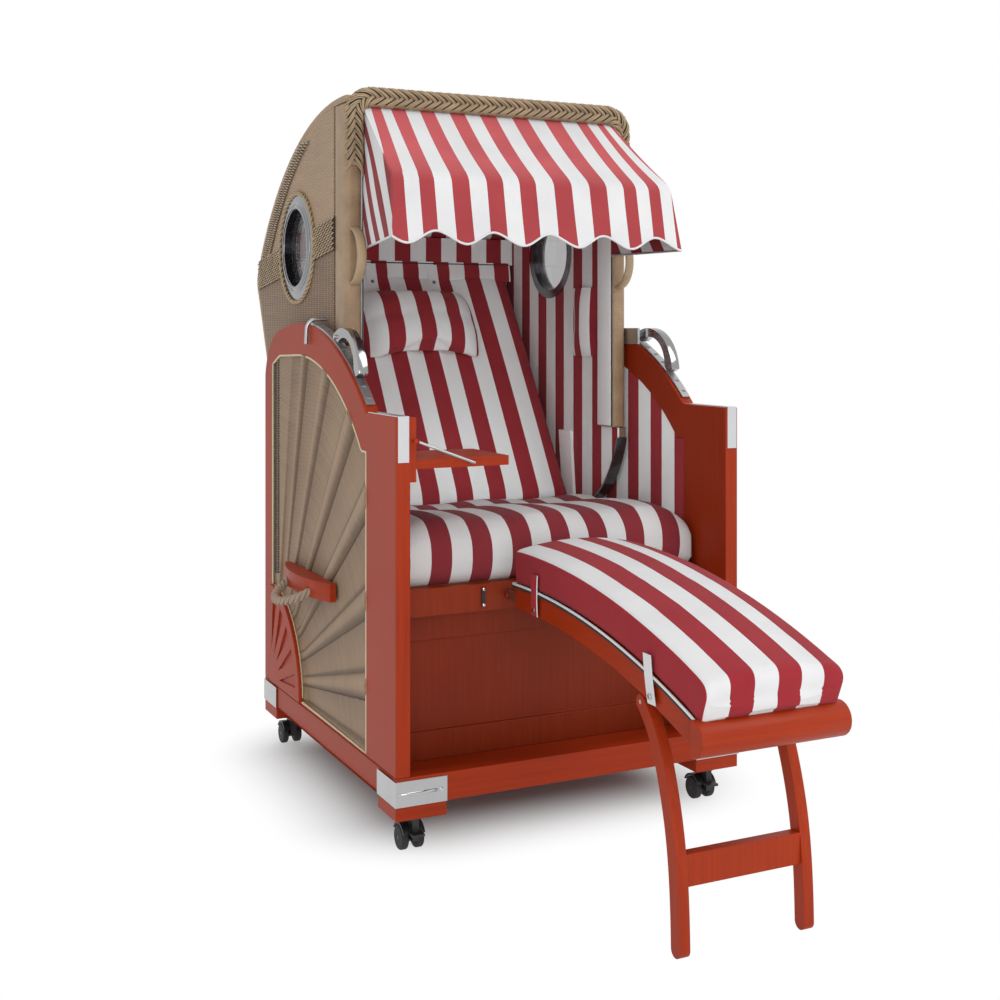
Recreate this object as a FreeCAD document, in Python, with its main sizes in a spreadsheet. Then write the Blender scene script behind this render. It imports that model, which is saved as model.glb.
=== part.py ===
import FreeCAD, Part
import math
import os
import re

from FreeCAD import Vector

# Sizes in millimetres. The chair stands on z = 0 and faces -y; x = 0 is its middle plane.
# Heights are above the floor; a value ending in _run is a distance behind the base's front face.
SIZES = [
    ("base_width", 830.0),
    ("base_depth", 925.0),
    ("base_front_y", -222.5),
    ("panel_thick", 32.0),
    ("caster_height", 81.0),
    ("block_height", 29.0),
    ("block_length", 112.0),
    ("block_depth", 103.0),
    ("rail_height", 58.0),
    ("floor_thick", 16.0),
    ("floor_lift", 20.0),
    ("bracket_thick", 2.0),
    ("bracket_height", 52.0),
    ("arm_height", 895.0),
    ("arm_run", 175.0),
    ("pivot_run", 644.0),
    ("pivot_height", 418.0),
    ("stile_front", 172.0),
    ("stile_rear", 66.0),
    ("frame_band", 76.0),
    ("shoulder_drop", 120.0),
    ("field_step", 82.0),
    ("field_margin", 6.0),
    ("field_corner", 60.0),
    ("field_slope", 22.0),
    ("field_crown", 4.0),
    ("wicker_inset", 4.0),
    ("lining_inset", 2.0),
    ("wicker_thick", 14.0),
    ("lining_thick", 6.0),
    ("sun_radius", 246.0),
    ("sun_thick", 12.0),
    ("ray_depth", 5.0),
    ("yoke_reach", 44.0),
    ("yoke_length", 340.0),
    ("yoke_edge", 14.0),
    ("yoke_ahead", 98.0),
    ("yoke_cover", 10.0),
    ("rope_root", 12.0),
    ("rope_out", 72.0),
    ("rope_half", 88.0),
    ("rope_diameter", 21.0),
    ("rope_height", 478.0),
    ("rope_sag", 40.0),
    ("seat_run", 105.0),
    ("seat_height", 524.0),
    ("seat_rail_height", 58.0),
    ("seat_rail_thick", 30.0),
    ("bearer_inset", 210.0),
    ("bearer_width", 28.0),
    ("bearer_height", 34.0),
    ("seat_board_depth", 480.0),
    ("seat_board_clear", 7.0),
    ("hook_set", 14.0),
    ("hook_drop", 26.0),
    ("lug_thick", 4.0),
    ("lug_height", 14.0),
    ("seat_board_thick", 20.0),
    ("seat_cushion_thick", 118.0),
    ("seat_back_gap", 20.0),
    ("seat_wing_run", 288.0),
    ("seat_wing_clear", 15.0),
    ("seat_side_clear", 8.0),
    ("rear_panel_height", 555.0),
    ("rear_panel_thick", 20.0),
    ("rear_panel_inset", 4.0),
    ("front_panel_set", 74.0),
    ("front_panel_thick", 24.0),
    ("front_field_inset", 62.0),
    ("front_field_depth", 9.0),
    ("strip_thick", 1.6),
    ("strip_drop", 92.0),
    ("strip_width", 24.0),
    ("strip_inset", 4.0),
    ("notch_rail_width", 20.0),
    ("notch_rail_thick", 6.0),
    ("notch_rail_inset", 6.0),
    ("notch_length", 7.0),
    ("notch_width", 10.0),
    ("notch_depth", 2.6),
    ("pivot_post_thick", 22.0),
    ("pivot_post_depth", 180.0),
    ("pivot_post_rise", 60.0),
    ("bolt_head", 5.0),
    ("bolt_head_thick", 7.0),
    ("bolt_collar", 6.0),
    ("hinge_arm_thick", 8.0),
    ("hinge_arm_half", 30.0),
    ("hinge_arm_top", 800.0),
    ("hinge_arm_lean", 42.0),
    ("hinge_arm_width", 64.0),
    ("hood_gap", 10.0),
    ("hood_run", 418.0),
    ("hood_radius", 817.0),
    ("hood_centre_set", 29.5),
    ("hood_centre_height", 793.4),
    ("shoulder_height", 1245.0),
    ("crown_height", 1206.0),
    ("crown_ease", 5.0),
    ("back_ease", 6.3),
    ("back_top_height", 1165.0),
    ("back_foot_height", 690.0),
    ("cheek_curve_set", 52.0),
    ("cheek_curve_height", 697.0),
    ("cheek_foot_set", 182.0),
    ("cheek_foot_height", 612.0),
    ("cheek_edge", 2.0),
    ("cheek_nose", 24.0),
    ("ceiling_length", 618.0),
    ("lining_margin", 8.0),
    ("ceiling_margin", 6.0),
    ("trim_thick", 6.0),
    ("trim_lap", 4.0),
    ("hood_wall", 16.0),
    ("side_thick", 18.0),
    ("post_width", 41.0),
    ("post_depth", 68.0),
    ("post_foot", 826.0),
    ("post_round", 12.0),
    ("post_gap", 0.4),
    ("braid_thick", 21.0),
    ("braid_rise", 20.0),
    ("braid_width", 46.0),
    ("braid_drop", 190.0),
    ("braid_corner", 34.0),
    ("porthole_flange", 266.0),
    ("porthole_bore", 196.0),
    ("porthole_run", 780.0),
    ("porthole_height", 1277.0),
    ("ring_wall", 4.0),
    ("ring_lip", 22.0),
    ("ring_lip_thick", 3.0),
    ("rim_height", 9.0),
    ("pane_thick", 4.0),
    ("cut_margin", 5.0),
    ("grip_height", 1240.0),
    ("grip_half", 68.0),
    ("grip_reach", 56.0),
    ("grip_thick", 10.0),
    ("grip_width", 25.0),
    ("grip_set", 8.0),
    ("backrest_set", 640.5),
    ("backrest_height", 620.0),
    ("backrest_length", 743.0),
    ("backrest_clear", 3.0),
    ("backrest_board_thick", 12.0),
    ("pelmet_set", 248.5),
    ("pelmet_height", 1256.0),
    ("pelmet_thick", 12.0),
    ("pelmet_drop", 74.0),
    ("backrest_thick", 50.0),
    ("pillow_width", 332.0),
    ("pillow_thick", 84.0),
    ("pillow_reach", 104.0),
    ("pillow_along", 530.0),
    ("pillow_off", 6.5),
    ("strap_inset", 92.0),
    ("strap_width", 30.0),
    ("strap_along", 614.0),
    ("strap_thick", 2.4),
    ("strap_sink", 0.85),
    ("strap_fall", 3.9),
    ("latch_pin", 10.0),
    ("latch_rise", 20.0),
    ("tongue_thick", 6.0),
    ("tongue_lead", 18.0),
    ("tongue_set", 54.0),
    ("tongue_height", 40.0),
    ("guide_diameter", 9.0),
    ("guide_rise", 14.0),
    ("guide_drop", 44.0),
    ("guide_out", 7.0),
    ("lever_width", 22.0),
    ("lever_inset", 5.0),
    ("lever_heel", 15.5),
    ("lever_rise", 66.0),
    ("lever_tip", 26.0),
    ("lever_lip", 8.0),
    ("lever_catch", 12.0),
    ("lever_hollow", 46.0),
    ("lever_root", 12.0),
    ("bolt_diameter", 16.0),
    ("bow_diameter", 12.0),
    ("bow_reach", 250.0),
    ("bow_set", 22.0),
    ("bow_height", 1400.0),
    ("bow_side_gap", 6.0),
    ("bow_pin", 8.0),
    ("bow_pin_step", 6.0),
    ("bow_pin_depth", 20.0),
    ("canopy_lead", 10.0),
    ("canopy_lift", 0.4),
    ("canopy_side", 2.0),
    ("canopy_spread", 20.0),
    ("valance_flare", 14.0),
    ("valance_rake", 28.0),
    ("awning_drop", 150.0),
    ("cloth_thick", 2.5),
    ("scallop_rise", 24.0),
    ("scallop_pitch", 139.0),
    ("tray_length", 214.0),
    ("tray_depth", 192.0),
    ("tray_thick", 19.0),
    ("tray_height", 807.0),
    ("tray_set", 12.0),
    ("tray_corner", 10.0),
    ("tray_mount_thick", 14.0),
    ("tray_mount_margin", 4.0),
    ("tray_mount_drop", 45.0),
    ("tray_mount_height", 131.0),
    ("tray_hinge_diameter", 8.0),
    ("tray_hinge_set", 32.0),
    ("tray_hinge_length", 130.0),
    ("tray_hinge_out", 2.0),
    ("stay_diameter", 6.0),
    ("stay_anchor", 123.0),
    ("stay_rise", 40.0),
    ("stay_run", -6.0),
    ("stay_peg", 32.0),
    ("stay_gap", 9.0),
    ("stay_pin", 5.0),
    ("stay_pin_head", 9.0),
    ("stay_pin_length", 20.0),
    ("stay_head_thick", 3.0),
    ("socket_depth", 17.0),
    ("wheel_diameter", 50.0),
    ("wheel_width", 16.0),
    ("axle_diameter", 8.0),
    ("caster_trail", 16.0),
    ("plate_side", 62.0),
    ("plate_thick", 3.0),
    ("fork_width", 14.0),
    ("fork_margin", 4.0),
    ("fork_nose", 22.0),
    ("crown_diameter", 46.0),
    ("crown_thick", 8.0),
    ("guard_width", 48.0),
    ("guard_inner", 3.0),
    ("guard_outer", 7.0),
    ("guard_start", 13.0),
    ("wheel_gap", 9.0),
    ("tyre_round", 4.0),
    ("brake_width", 26.0),
    ("brake_length", 22.0),
    ("brake_thick", 5.0),
    ("brake_rise", 14.0),
    ("footrest_width", 284.0),
    ("footrest_rail_thick", 22.0),
    ("footrest_rail_height", 48.0),
    ("footrest_radius", 1808.0),
    ("footrest_cushion_thick", 86.0),
    ("leg_section", 28.0),
    ("rest_centre_run", -27.6),
    ("rest_crown", 10.4),
    ("rest_back_run", 12.0),
    ("rest_front_run", -662.0),
    ("rest_board_top", 2.0),
    ("rest_board_thick", 12.0),
    ("nose_top", 4.0),
    ("nose_height", 62.0),
    ("nose_reach", 40.0),
    ("nose_bulge", 34.0),
    ("nose_tuck", 8.0),
    ("nose_rise", 6.0),
    ("nose_overhang", 13.0),
    ("rest_cushion_lap", 4.0),
    ("leg_run", -486.0),
    ("leg_drop", 16.0),
    ("leg_foot_run", -600.0),
    ("leg_pin", 8.0),
    ("crossbar_set", 2.0),
    ("crossbar_height", 118.0),
    ("crossbar_depth", 22.0),
    ("crossbar_drop", 56.0),
    ("hook_flat_thick", 5.0),
    ("hook_flat_half", 10.0),
    ("hook_flat_reach", 70.0),
    ("hook_flat_low", 6.0),
    ("hook_flat_high", 18.0),
    ("leg_lug_thick", 4.0),
    ("leg_lug_half", 14.0),
    ("leg_lug_rise", 16.0),
    ("hook_bar_side", 6.0),
    ("hook_lug_inset", 20.0),
    ("hook_diameter", 10.0),
    ("fit_gap", 0.05),
    ("free_gap", 0.35),
    ("bed_gap", 0.1),
]

doc = FreeCAD.newDocument("HoodedBeachChair")
sheet = doc.addObject("Spreadsheet::Sheet", "Sizes")
for row, (alias, value) in enumerate(SIZES, start=1):
    cell = "A%d" % row
    sheet.set(cell, str(value))
    sheet.setAlias(cell, alias)
doc.recompute()

ALIASES = {alias for alias, value in SIZES}
nodes = []


# Sizes worked out from the sheet, as sums of its sizes.
DERIVED = {
    "hood_width": [(1, "base_width"), (-2, "panel_thick"), (-2, "hood_gap")],
    "frame_top": [(1, "caster_height"), (1, "block_height"), (1, "rail_height")],
    "floor_top": [(1, "caster_height"), (1, "block_height"), (1, "floor_lift"), (1, "floor_thick")],
    "rear_panel_run": [(1, "base_depth"), (-1, "rear_panel_thick"), (-1, "rear_panel_inset")],
    "hinge_x": [(0.5, "base_width"), (-1, "panel_thick"), (-1, "hood_gap"), (-1, "side_thick"),
                (-1, "lining_thick"), (-1, "hinge_arm_thick")],
    "backrest_run": [(1, "hood_run"), (1, "hood_centre_set"), (1, "hood_radius"), (-1, "backrest_set")],
    "pelmet_run": [(1, "hood_run"), (1, "hood_centre_set"), (1, "hood_radius"), (-1, "pelmet_set")],
    "seat_cushion_back_run": [(1, "backrest_run"), (-1, "seat_back_gap")],
}


def size(alias):
    """One size, read from the sheet or worked out from it."""
    if alias in DERIVED:
        return sum(share * size(term) for share, term in DERIVED[alias])
    return float(sheet.get(alias))


def bind(text):
    """An expression in the sheet's plain names, as the document spells it."""
    def spell(match):
        word = match.group(0)
        if word in DERIVED:
            return "(0 %s)" % " ".join("%+g*%s" % (share, bind(term)) for share, term in DERIVED[word])
        return "Sizes." + word if word in ALIASES else word
    return re.sub(r"[a-z][a-z_]+", spell, text)


def node(thing):
    """Keep a document object as one of the parts that are written out."""
    nodes.append(thing)
    return thing


def stand(thing, x="0", z="0"):
    """Bind a piece's place; pieces are drawn from the base's front face."""
    thing.setExpression("Placement.Base.x", bind(x))
    thing.setExpression("Placement.Base.y", bind("base_front_y"))
    thing.setExpression("Placement.Base.z", bind(z))
    return thing


def board(label, corner, sides):
    """A rectangular board; corner and sides are expressions in the sheet's names."""
    box = doc.addObject("Part::Box", label)
    for name, text in zip(("Length", "Width", "Height"), sides):
        box.setExpression(name, bind(text))
    box.setExpression("Placement.Base.x", bind(corner[0]))
    box.setExpression("Placement.Base.y", bind("base_front_y + " + corner[1]))
    box.setExpression("Placement.Base.z", bind(corner[2]))
    return box


def outline(start, steps):
    """Closed run of lines and arcs; a step of two points is an arc's middle and end."""
    edges = []
    here = Vector(start[0], start[1], 0)
    for step in list(steps) + [start]:
        if isinstance(step[0], tuple):
            middle = Vector(step[0][0], step[0][1], 0)
            end = Vector(step[1][0], step[1][1], 0)
            edges.append(Part.ArcOfCircle(here, middle, end))
        else:
            end = Vector(step[0], step[1], 0)
            if (end - here).Length < 1e-6:
                continue
            edges.append(Part.LineSegment(here, end))
        here = end
    return edges


def circle(centre, diameter):
    """A round hole in a sketch."""
    return Part.Circle(Vector(centre[0], centre[1], 0), Vector(0, 0, 1), diameter / 2)


def padded(label, plane, edges, length):
    """A body with one sketch on an origin plane and one pad of a bound length."""
    body = doc.addObject("PartDesign::Body", label)
    sketch = body.newObject("Sketcher::SketchObject", label + "_sketch")
    origin = [item for item in body.Origin.OriginFeatures if item.Role == plane][0]
    sketch.AttachmentSupport = (origin, [""])
    sketch.MapMode = "FlatFace"
    for edge in edges:
        sketch.addGeometry(edge, False)
    pad = body.newObject("PartDesign::Pad", label + "_pad")
    pad.Profile = sketch
    pad.setExpression("Length", bind(length))
    body.Tip = pad
    return body


def turned(label, edges, angle=360.0):
    """A body revolved about its own z axis from a profile drawn in the x-z plane."""
    body = doc.addObject("PartDesign::Body", label)
    sketch = body.newObject("Sketcher::SketchObject", label + "_sketch")
    origin = [item for item in body.Origin.OriginFeatures if item.Role == "XZ_Plane"][0]
    sketch.AttachmentSupport = (origin, [""])
    sketch.MapMode = "FlatFace"
    for edge in edges:
        sketch.addGeometry(edge, False)
    spin = body.newObject("PartDesign::Revolution", label + "_turn")
    spin.Profile = sketch
    spin.ReferenceAxis = (sketch, ["V_Axis"])
    spin.Angle = angle
    body.Tip = spin
    return body


def formed(label, shape):
    """A freely formed piece, drawn from the base's front face."""
    feature = doc.addObject("Part::Feature", label)
    feature.Shape = shape
    return stand(feature)


def mirrored(label, source):
    """The same piece on the other side of the chair's middle plane."""
    twin = doc.addObject("Part::Mirroring", label)
    twin.Source = source
    twin.Normal = Vector(1, 0, 0)
    return twin


def group(label, pieces):
    """Several equal pieces in one node."""
    bundle = doc.addObject("Part::Compound", label)
    bundle.Links = pieces
    return bundle


def pair(label, source):
    """A piece and its mirror image in one node."""
    return group(label, [source, mirrored(label + "_twin", source)])


def around(angle, radius):
    """A point in the side view, by angle ahead of upright and distance from the hood's pivot."""
    turn = math.radians(angle)
    return (size("pivot_run") - radius * math.sin(turn), size("pivot_height") + radius * math.cos(turn))


def arm_radius():
    """Radius of the arm's sloping edge, which is round the hood's pivot."""
    return math.hypot(size("pivot_run") - size("arm_run"), size("arm_height") - size("pivot_height"))


def arm_start():
    """Angle ahead of upright at which the arm's slope begins."""
    return math.degrees(math.atan2(size("pivot_run") - size("arm_run"), size("arm_height") - size("pivot_height")))


BEND_SHARE = 0.45


def tube(points, diameter):
    """A round bar on straight runs joined by tangent arcs."""
    corners = [Vector(*point) for point in points]
    edges = []
    here = corners[0]
    for before, corner, after in zip(corners, corners[1:], corners[2:]):
        back = (before - corner).normalize()
        ahead = (after - corner).normalize()
        half = (math.pi - back.getAngle(ahead)) / 2
        reach = BEND_SHARE * min((before - corner).Length, (after - corner).Length)
        bend = reach / math.tan(half)
        enter = corner + back * reach
        leave = corner + ahead * reach
        inward = (back + ahead).normalize()
        middle = corner + inward * (bend / math.cos(half) - bend)
        edges.append(Part.LineSegment(here, enter).toShape())
        edges.append(Part.Arc(enter, middle, leave).toShape())
        here = leave
    edges.append(Part.LineSegment(here, corners[-1]).toShape())
    path = Part.Wire(edges)
    ring = Part.Wire(Part.makeCircle(diameter / 2, corners[0], corners[1] - corners[0]))
    return path.makePipeShell([ring], True, True)


def loft(wires):
    """A smooth solid through a row of like sections."""
    return Part.makeLoft(wires, True, False)


def wire(points):
    """A closed section of arcs; every second point is the middle of an arc, or of a straight run."""
    corners = [Vector(*point) for point in points]
    edges = []
    for index in range(0, len(corners), 2):
        start, middle, end = (corners[(index + step) % len(corners)] for step in range(3))
        bulge = (middle - start).cross(end - start).Length / (end - start).Length
        if bulge < 0.05:
            edges.append(Part.LineSegment(start, end).toShape())
        else:
            edges.append(Part.Arc(start, middle, end).toShape())
    return Part.Wire(edges)


def rod(centre, axis, diameter, length):
    """A straight round pin."""
    return Part.makeCylinder(diameter / 2, length, Vector(*centre), Vector(*axis))


# Base frame

def base_rails():
    front = board("rail_front", ("-base_width/2", "0", "caster_height + block_height"),
                  ("base_width", "panel_thick", "rail_height"))
    rear = board("rail_rear", ("-base_width/2", "base_depth - panel_thick", "caster_height + block_height"),
                 ("base_width", "panel_thick", "rail_height"))
    side = board("rail_side", ("base_width/2 - panel_thick", "panel_thick", "caster_height + block_height"),
                 ("panel_thick", "base_depth - 2*panel_thick", "rail_height"))
    node(group("base_rails", [front, rear, side, mirrored("rail_side_twin", side)]))


def floor_board():
    node(board("floor_board",
               ("-base_width/2 + panel_thick", "panel_thick", "caster_height + block_height + floor_lift"),
               ("base_width - 2*panel_thick", "base_depth - 2*panel_thick", "floor_thick")))


def foot_blocks():
    front = board("block_front", ("base_width/2 - block_length", "0", "caster_height"),
                  ("block_length", "block_depth", "block_height"))
    rear = board("block_rear", ("base_width/2 - block_length", "base_depth - block_depth", "caster_height"),
                 ("block_length", "block_depth", "block_height"))
    node(group("foot_blocks", [front, mirrored("block_front_twin", front),
                               rear, mirrored("block_rear_twin", rear)]))


def corner_brackets():
    half = size("base_width") / 2
    sheet_thick = size("bracket_thick")
    length = size("block_length")
    depth = size("block_depth")
    front = outline((half - length, 0), [(half - length, -sheet_thick), (half + sheet_thick, -sheet_thick),
                                         (half + sheet_thick, depth), (half, depth), (half, 0)])
    far = size("base_depth")
    rear = outline((half - length, far), [(half, far), (half, far - depth), (half + sheet_thick, far - depth),
                                          (half + sheet_thick, far + sheet_thick),
                                          (half - length, far + sheet_thick)])
    pieces = []
    for label, edges in (("bracket_front", front), ("bracket_rear", rear)):
        angle = stand(padded(label, "XY_Plane", edges, "bracket_height"), z="caster_height + block_height")
        pieces += [angle, mirrored(label + "_twin", angle)]
    node(group("corner_brackets", pieces))


# Angles in degrees ahead of upright, seen from the hood's pivot.
ARM_END = -11.5
NOTCH_LEAD = 1.5
NOTCH_END = 5.0
NOTCHES = 12
LATCH_ANGLE = 22.5
GUIDE_ANGLE = 7.8


def side_outline():
    """Outer edge of a side panel, in the side view."""
    foot = size("frame_top")
    depth = size("base_depth")
    radius = arm_radius()
    start = arm_start()
    last = around(ARM_END, radius)
    shoulder = (depth, last[1] - size("shoulder_drop"))
    corner = (0.35 * last[0] + 0.65 * depth, 0.7 * last[1] + 0.3 * shoulder[1])
    return [(0, foot), (0, size("arm_height")), around(start, radius),
            (around((start + ARM_END) / 2, radius), last), (corner, shoulder), (depth, foot)]


def opening_outline(inset):
    """Edge of the woven field inside a side panel, drawn in by inset."""
    foot = size("frame_top")
    depth = size("base_depth")
    front = size("stile_front") + inset
    back = depth - size("stile_rear") - inset
    radius = arm_radius() - size("frame_band") - inset
    top = size("pivot_height") + radius
    lower = foot + size("field_margin") + inset
    step = size("arm_height") - size("field_step") - inset
    turn = math.degrees(math.acos((step - size("pivot_height")) / radius))
    return [(front, lower), (front, step), around(turn, radius),
            (around(turn / 2, radius), around(0, radius)), (back - size("field_corner"), top - size("field_crown")),
            (back, top - size("field_crown") - size("field_slope")), (back, lower)]


def side_panels():
    edge = side_outline()
    hole = opening_outline(0)
    edges = outline(edge[0], edge[1:]) + outline(hole[0], hole[1:])
    left = stand(padded("side_panel_left", "YZ_Plane", edges, "panel_thick"), x="-base_width/2")
    right = stand(padded("side_panel_right", "YZ_Plane", edges, "panel_thick"), x="base_width/2 - panel_thick")
    node(left)
    node(right)


def wicker_panels():
    hole = opening_outline(size("bed_gap"))
    edges = outline(hole[0], hole[1:])
    panel = stand(padded("wicker_panel", "YZ_Plane", edges, "wicker_thick"),
                  x="base_width/2 - wicker_inset - wicker_thick")
    node(pair("wicker_panels", panel))


def side_linings():
    hole = opening_outline(size("bed_gap"))
    edges = outline(hole[0], hole[1:])
    cloth = stand(padded("side_lining", "YZ_Plane", edges, "lining_thick"),
                  x="base_width/2 - panel_thick + lining_inset")
    node(pair("side_linings", cloth))


SUN_RAYS = 5
FIRST_RAY = 12.0
RAY_STEP = 16.5
RAY_SPREAD = 4.2


def sun_corners():
    hole = opening_outline(2 * size("bed_gap"))
    lower = hole[0][1]
    back = hole[-1][0]
    radius = size("sun_radius")
    bow = radius * math.sqrt(0.5)
    edges = outline((back, lower), [(back, lower + radius),
                                    ((back - bow, lower + bow), (back - radius, lower))])
    disc = padded("sun_disc", "YZ_Plane", edges, "sun_thick")
    sketch = disc.newObject("Sketcher::SketchObject", "sun_ray_sketch")
    origin = [item for item in disc.Origin.OriginFeatures if item.Role == "YZ_Plane"][0]
    sketch.AttachmentSupport = (origin, [""])
    sketch.MapMode = "FlatFace"
    sketch.setExpression("AttachmentOffset.Base.z", bind("sun_thick"))
    for ray in range(SUN_RAYS):
        turn = math.radians(FIRST_RAY + RAY_STEP * ray)
        spread = math.radians(RAY_SPREAD)
        inner = radius * 0.36
        outer = radius * 0.88
        points = [(back - inner * math.cos(turn), lower + inner * math.sin(turn)),
                  (back - outer * math.cos(turn - spread), lower + outer * math.sin(turn - spread)),
                  (back - outer * math.cos(turn + spread), lower + outer * math.sin(turn + spread))]
        for edge in outline(points[0], points[1:]):
            sketch.addGeometry(edge, False)
    carve = disc.newObject("PartDesign::Pocket", "sun_rays")
    carve.Profile = sketch
    carve.setExpression("Length", bind("ray_depth"))
    disc.Tip = carve
    stand(disc, x="base_width/2 - wicker_inset")
    node(pair("sun_corners", disc))


ROPE_TURNS = 6


def yoke_run():
    """Run of the middle of the rope yokes."""
    return size("pivot_run") - size("yoke_ahead")


def rope_points():
    """Points of the rope handle's path on the right side: a half loop that sags outward."""
    face = size("base_width") / 2
    root = face + size("rope_root")
    half = size("rope_half")
    out = size("rope_out")
    points = []
    for step in range(ROPE_TURNS + 1):
        turn = math.pi * step / ROPE_TURNS
        points.append((root + out * math.sin(turn), yoke_run() - half * math.cos(turn),
                       size("rope_height") - size("rope_sag") * math.sin(turn)))
    return points


def report_cord(points, diameter, shape):
    """Print a cord's bend radii, its length and how its volume compares with section times length."""
    corners = [Vector(*point) for point in points]
    bends = []
    for before, corner, after in zip(corners, corners[1:], corners[2:]):
        half = (math.pi - (before - corner).getAngle(after - corner)) / 2
        bends.append((before - corner, after - corner, half))
    radii = []
    length = sum((last - first).Length for first, last in zip(corners, corners[1:]))
    for back, ahead, half in bends:
        reach = BEND_SHARE * min(back.Length, ahead.Length)
        radii.append(reach / math.tan(half))
        length += radii[-1] * 2 * half - 2 * reach
    section = math.pi * diameter ** 2 / 4
    print("rope radii", ", ".join("%.1f" % radius for radius in radii))
    print("rope length %.1f, volume %.4f of section times length" % (length, shape.Volume / (section * length)))


def rope_handles():
    face = size("base_width") / 2 - size("wicker_inset")
    edge = face + size("yoke_edge")
    middle = yoke_run()
    half = size("yoke_length") / 2
    reach = size("yoke_reach")
    edges = outline((face, middle - half), [(edge, middle - half),
                                            ((face + reach, middle), (edge, middle + half)),
                                            (face, middle + half)])
    plank = stand(padded("yoke_plank", "XY_Plane", edges, "rope_diameter + 2*yoke_cover"),
                  z="rope_height - rope_diameter/2 - yoke_cover")
    bore = formed("yoke_bores", tube(rope_points(), size("rope_diameter") + 2 * size("free_gap")))
    yoke = doc.addObject("Part::Cut", "yoke")
    yoke.Base = plank
    yoke.Tool = bore
    node(pair("rope_yokes", yoke))
    cord = tube(rope_points(), size("rope_diameter"))
    report_cord(rope_points(), size("rope_diameter"), cord)
    rope = formed("rope_right", cord)
    node(rope)
    node(mirrored("rope_left", rope))


def rear_panel():
    node(board("rear_panel",
               ("-base_width/2 + panel_thick", "rear_panel_run", "frame_top"),
               ("base_width - 2*panel_thick", "rear_panel_thick", "rear_panel_height - frame_top")))


def front_panel():
    left = size("base_width") / 2 - size("panel_thick")
    foot = size("floor_top")
    top = size("seat_height") - size("seat_rail_height")
    edges = outline((-left, foot), [(left, foot), (left, top), (-left, top)])
    panel = padded("front_panel", "XZ_Plane", edges, "front_panel_thick")
    sketch = panel.newObject("Sketcher::SketchObject", "front_field_sketch")
    origin = [item for item in panel.Origin.OriginFeatures if item.Role == "XZ_Plane"][0]
    sketch.AttachmentSupport = (origin, [""])
    sketch.MapMode = "FlatFace"
    sketch.setExpression("AttachmentOffset.Base.z", bind("front_panel_thick"))
    inset = size("front_field_inset")
    for edge in outline((-left + inset, foot + inset), [(left - inset, foot + inset), (left - inset, top - inset),
                                                       (-left + inset, top - inset)]):
        sketch.addGeometry(edge, False)
    field = panel.newObject("PartDesign::Pocket", "front_field")
    field.Profile = sketch
    field.setExpression("Length", bind("front_field_depth"))
    panel.Tip = field
    panel.setExpression("Placement.Base.y", bind("base_front_y + seat_run + front_panel_set"))
    node(panel)


def hook_axis():
    """Run and height of the bar that the footrest's hooks turn on."""
    return size("seat_run") - size("hook_set"), size("seat_height") - size("hook_drop")


def seat_frame():
    rail = board("seat_front", ("-base_width/2 + panel_thick", "seat_run", "seat_height - seat_rail_height"),
                 ("base_width - 2*panel_thick", "seat_rail_thick", "seat_rail_height"))
    bearer = board("seat_bearer", ("bearer_inset", "seat_run + seat_rail_thick",
                                       "seat_height - seat_board_thick - bearer_height"),
                   ("bearer_width", "rear_panel_run - seat_run - seat_rail_thick", "bearer_height"))
    run, height = hook_axis()
    reach = size("footrest_width") / 2 - size("footrest_rail_thick") + size("hook_bar_side")
    bar = rod((-reach, run, height), (1, 0, 0), size("hook_diameter"), 2 * reach)
    lugs = []
    thick = size("lug_thick")
    tall = size("lug_height")
    for side in (size("hook_lug_inset") - reach, reach - size("hook_lug_inset") - thick, -thick / 2):
        lugs.append(Part.makeBox(thick, size("seat_run") - run + tall / 2, tall,
                                 Vector(side, run - tall / 2, height - tall / 2)))
    hook_bar = formed("hook_bar", bar.multiFuse(lugs).removeSplitter())
    node(group("seat_rail", [rail, hook_bar]))
    node(pair("seat_bearers", bearer))
    node(board("seat_board", ("-hinge_x + seat_board_clear", "seat_run + seat_rail_thick",
                              "seat_height - seat_board_thick"),
               ("2*hinge_x - 2*seat_board_clear", "seat_board_depth", "seat_board_thick")))

# Side view of the seat cushion: shares of its depth and of its thickness.
SEAT_PROFILE = ((0.044, 0), (0.008, 0.22), (0, 0.5), (0.02, 0.8), (0.096, 1), (0.3, 1.02), (0.6, 0.91),
                (0.94, 0.72), (0.992, 0.6), (1, 0.3), (0.984, 0), (0.5, 0))



def seat_section(x, swell):
    """The seat cushion cut across at x; swell is its share of full thickness."""
    low = size("seat_height")
    thick = size("seat_cushion_thick") * swell
    front = size("seat_run") - size("cheek_edge")
    back = size("seat_cushion_back_run")
    return wire([(x, front + along * (back - front), low + up * thick) for along, up in SEAT_PROFILE])


def seat_cushion():
    half = size("base_width") / 2 - size("panel_thick") - size("seat_side_clear")
    stations = [(-half, 0.82), (-half + 24, 0.96), (-half * 0.5, 1.06), (0, 1.1),
                (half * 0.5, 1.06), (half - 24, 0.96), (half, 0.82)]
    full = loft([seat_section(x, swell) for x, swell in stations])
    inner = size("hinge_x") - size("seat_wing_clear")
    thick = size("seat_cushion_thick")
    run = size("seat_wing_run")
    wing = Part.makeBox(half, size("seat_cushion_back_run") - run + thick, 3 * thick,
                        Vector(inner, run, size("seat_height") - thick))
    twin = wing.mirror(Vector(0, 0, 0), Vector(1, 0, 0))
    node(formed("seat_cushion", full.cut(wing).cut(twin)))


def arm_strips():
    top = size("arm_height")
    low = top - size("strip_drop")
    end = size("arm_run") - size("strip_inset")
    thick = size("strip_thick")
    edges = outline((0, low), [(-thick, low), (-thick, top + thick), (end, top + thick), (end, top), (0, top)])
    strip = stand(padded("arm_strip", "YZ_Plane", edges, "strip_width"), x="base_width/2 - panel_thick + strip_inset")
    node(pair("arm_strips", strip))


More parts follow.
